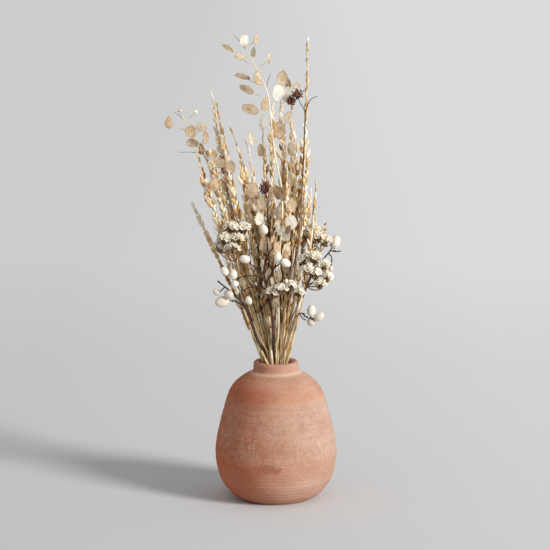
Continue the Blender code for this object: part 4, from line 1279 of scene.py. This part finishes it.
def seed_piece(piece, rng):
    """Dark wiry stem with loose clusters of small husks."""
    shape = Shape()
    line, run = stem_line(piece)
    # Straw-coloured low down, dark and wiry near the seeds.
    tone = np.interp(line[-1][2] - line[:, 2], [0.0, 70.0, 150.0], [0.25, 0.40, 0.95])
    shape.tube(line, taper(run, (0.0, 60.0), [0.55, 0.9, 1.45]), 8, tone + 0.08 * np.sin(run * 0.05), 0, 0.08)
    for twig in piece["twigs"]:
        twig_tube(shape, twig, 0.6, 0.35, 0.2, rng)
    for centre, size, _, _ in piece["balls"]:
        centre = np.asarray(centre)
        for k in range(110):
            way = unit(rng.normal(size=3))
            spot = centre + way * np.array(size) * rng.uniform(0.25, 1.02)
            lean = unit(spot - (centre + np.array([0, 0, -size[2]]))) + rng.normal(0, 0.25, 3)
            length, tone = rng.uniform(2.4, 3.8), rng.uniform(0.1, 0.8)
            shape.husk(spot - unit(lean) * 1.4, lean, (0, -1, 0), length, 0.95, 0.8, tone, 1, 5)
            if k % 3 == 0:
                shape.stalk(centre + np.array([0, 0, -size[2] * 0.7]), spot, [0.4, 0.28, 0.22], 5)
        if math.dist(centre, piece["path"][-1]) > 6.0:
            root = np.asarray(nearest_on([piece["path"][1:]] + piece["twigs"], centre))
            shape.stalk(root, centre, [0.5, 0.4, 0.35], 6)
    return shape, [TWIG, SEED]


MAKERS = {"grass": grass_piece, "honesty": honesty_piece, "tallow": tallow_piece,
          "statice": statice_piece, "seed": seed_piece}
BODIES = {"tallow_sprig_right": "loose_tallow", "grass_stem_left": "loose_grass"}


def make_plants():
    for number, piece in enumerate(lay_out()):
        rng = np.random.default_rng(1000 + number)
        shape, materials = MAKERS[piece["kind"]](piece, rng)
        # Grass deep inside the bunch gets painted shade.
        if piece["kind"] == "grass":
            shape.paint_shade_inside()
        item = shape.make("look_" + piece["name"], materials)
        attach(item, BODIES.get(piece["name"], "bunch"))
        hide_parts(piece["name"])


# ---------------------------------------------------------------- vase
def make_vase():
    """Thrown pot: smooth turned profile with throwing rings and a hand-made waver."""
    outer = smooth_line([(r, 0.0, z) for r, z in VASE_OUTER], 1.6)
    inner = smooth_line([(r, 0.0, z) for r, z in VASE_INNER], 3.2)
    underside = [(30.0, 0.0, 0.0), (15.0, 0.0, 0.0), (0.02, 0.0, 0.0)]
    profile = np.concatenate([[(0.02, 0.0, FLOOR_Z)], inner, outer[1:], underside])
    sides = 224
    angles = circle(sides)
    outside = len(inner) + 1
    rings = []
    for k, (r, _, z) in enumerate(profile):
        radius = np.full(sides, r)
        if k >= outside and r > 46.0:
            fade = min(1.0, (r - 46.0) / 12.0)
            turns = 0.16 * math.sin(z * 1.35) + 0.12 * math.sin(z * 0.71 + 1.0)
            turns = turns + 0.10 * math.sin(z * 2.6 + 0.5)
            shelf = 0.35 * math.tanh((z - 122.0) * 1.1) - 0.30 * math.tanh((z - 36.0) * 0.9)
            waver = 0.35 * np.sin(2 * angles + 0.8 + z * 0.012) + 0.22 * np.sin(3 * angles + 2.0 - z * 0.02)
            waver = waver + 0.08 * np.sin(9 * angles + z * 0.15) + 0.06 * np.sin(17 * angles - z * 0.3)
            radius = radius + fade * (turns - 0.35 + 0.3 * shelf + waver)
        elif k >= outside and z > 165.0:
            radius = radius + 0.12 * np.sin(3 * angles + 1.0) + 0.08 * np.sin(7 * angles + z)
        height = z + (0.18 * np.sin(2 * angles + 0.5) if z > 176.0 else 0.0)
        height = np.broadcast_to(height, (sides,))
        rings.append(np.stack([radius * np.cos(angles), radius * np.sin(angles), height], axis=1))
    shape = Shape()
    shape.rings([r[::-1] for r in rings], np.zeros(len(rings)), 0)
    item = shape.make("look_vase_body", [CLAY])
    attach(item, "vase")
    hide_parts("vase_body")


# ---------------------------------------------------------------- studio
SWEEP_SIDE = 30.0
SWEEP_STEPS = 12
SWEEP_BELOW = 0.0004
KEY_TO_LIGHT = (0.72, -0.54, 0.40)
KEY_STRENGTH = 3.35
KEY_ANGLE = math.radians(17)
KEY_COLOUR = (1.0, 0.985, 0.965)
FILL_STRENGTH = 0.47
FILL_COLOUR = (0.985, 0.995, 1.0, 1.0)
LENS = 175.0
CAMERA_TARGET = Vector((-0.0012, 0.0, 0.2972))
CAMERA_TILT = math.radians(9.5)
CAMERA_AWAY = 3.5


def add_object(name, data):
    item = bpy.data.objects.new(name, data)
    bpy.context.scene.collection.objects.link(item)
    return item


def make_floor():
    mesh = bpy.data.meshes.new("sweep")
    row = SWEEP_STEPS + 1
    spots = [-SWEEP_SIDE + 2 * SWEEP_SIDE * i / SWEEP_STEPS for i in range(row)]
    corners = [j * row + i for j in range(SWEEP_STEPS) for i in range(SWEEP_STEPS)]
    faces = [(c, c + 1, c + row + 1, c + row) for c in corners]
    mesh.from_pydata([(x, y, -SWEEP_BELOW) for y in spots for x in spots], [], faces)
    mesh.materials.append(floor_material())
    item = add_object("sweep", mesh)


def make_lights():
    world = bpy.data.worlds.new("studio")
    world.use_nodes = True
    fill = world.node_tree.nodes["Background"]
    fill.inputs[0].default_value = FILL_COLOUR
    fill.inputs[1].default_value = FILL_STRENGTH
    bpy.context.scene.world = world
    key = bpy.data.lights.new("key", "SUN")
    key.energy = KEY_STRENGTH
    key.angle = KEY_ANGLE
    key.color = KEY_COLOUR
    lamp = add_object("key", key)
    lamp.rotation_euler = Vector(KEY_TO_LIGHT).to_track_quat("Z", "Y").to_euler()


def make_camera():
    camera = bpy.data.cameras.new("camera")
    camera.lens = LENS
    camera.sensor_width = 36.0
    item = add_object("camera", camera)
    away = CAMERA_AWAY * Vector((0.0, -math.cos(CAMERA_TILT), math.sin(CAMERA_TILT)))
    item.location = CAMERA_TARGET + away
    item.rotation_euler = (item.location - CAMERA_TARGET).to_track_quat("Z", "Y").to_euler()
    bpy.context.scene.camera = item


make_camera()
make_lights()
make_floor()
make_vase()
make_plants()
bpy.context.scene.view_settings.view_transform = "Standard"
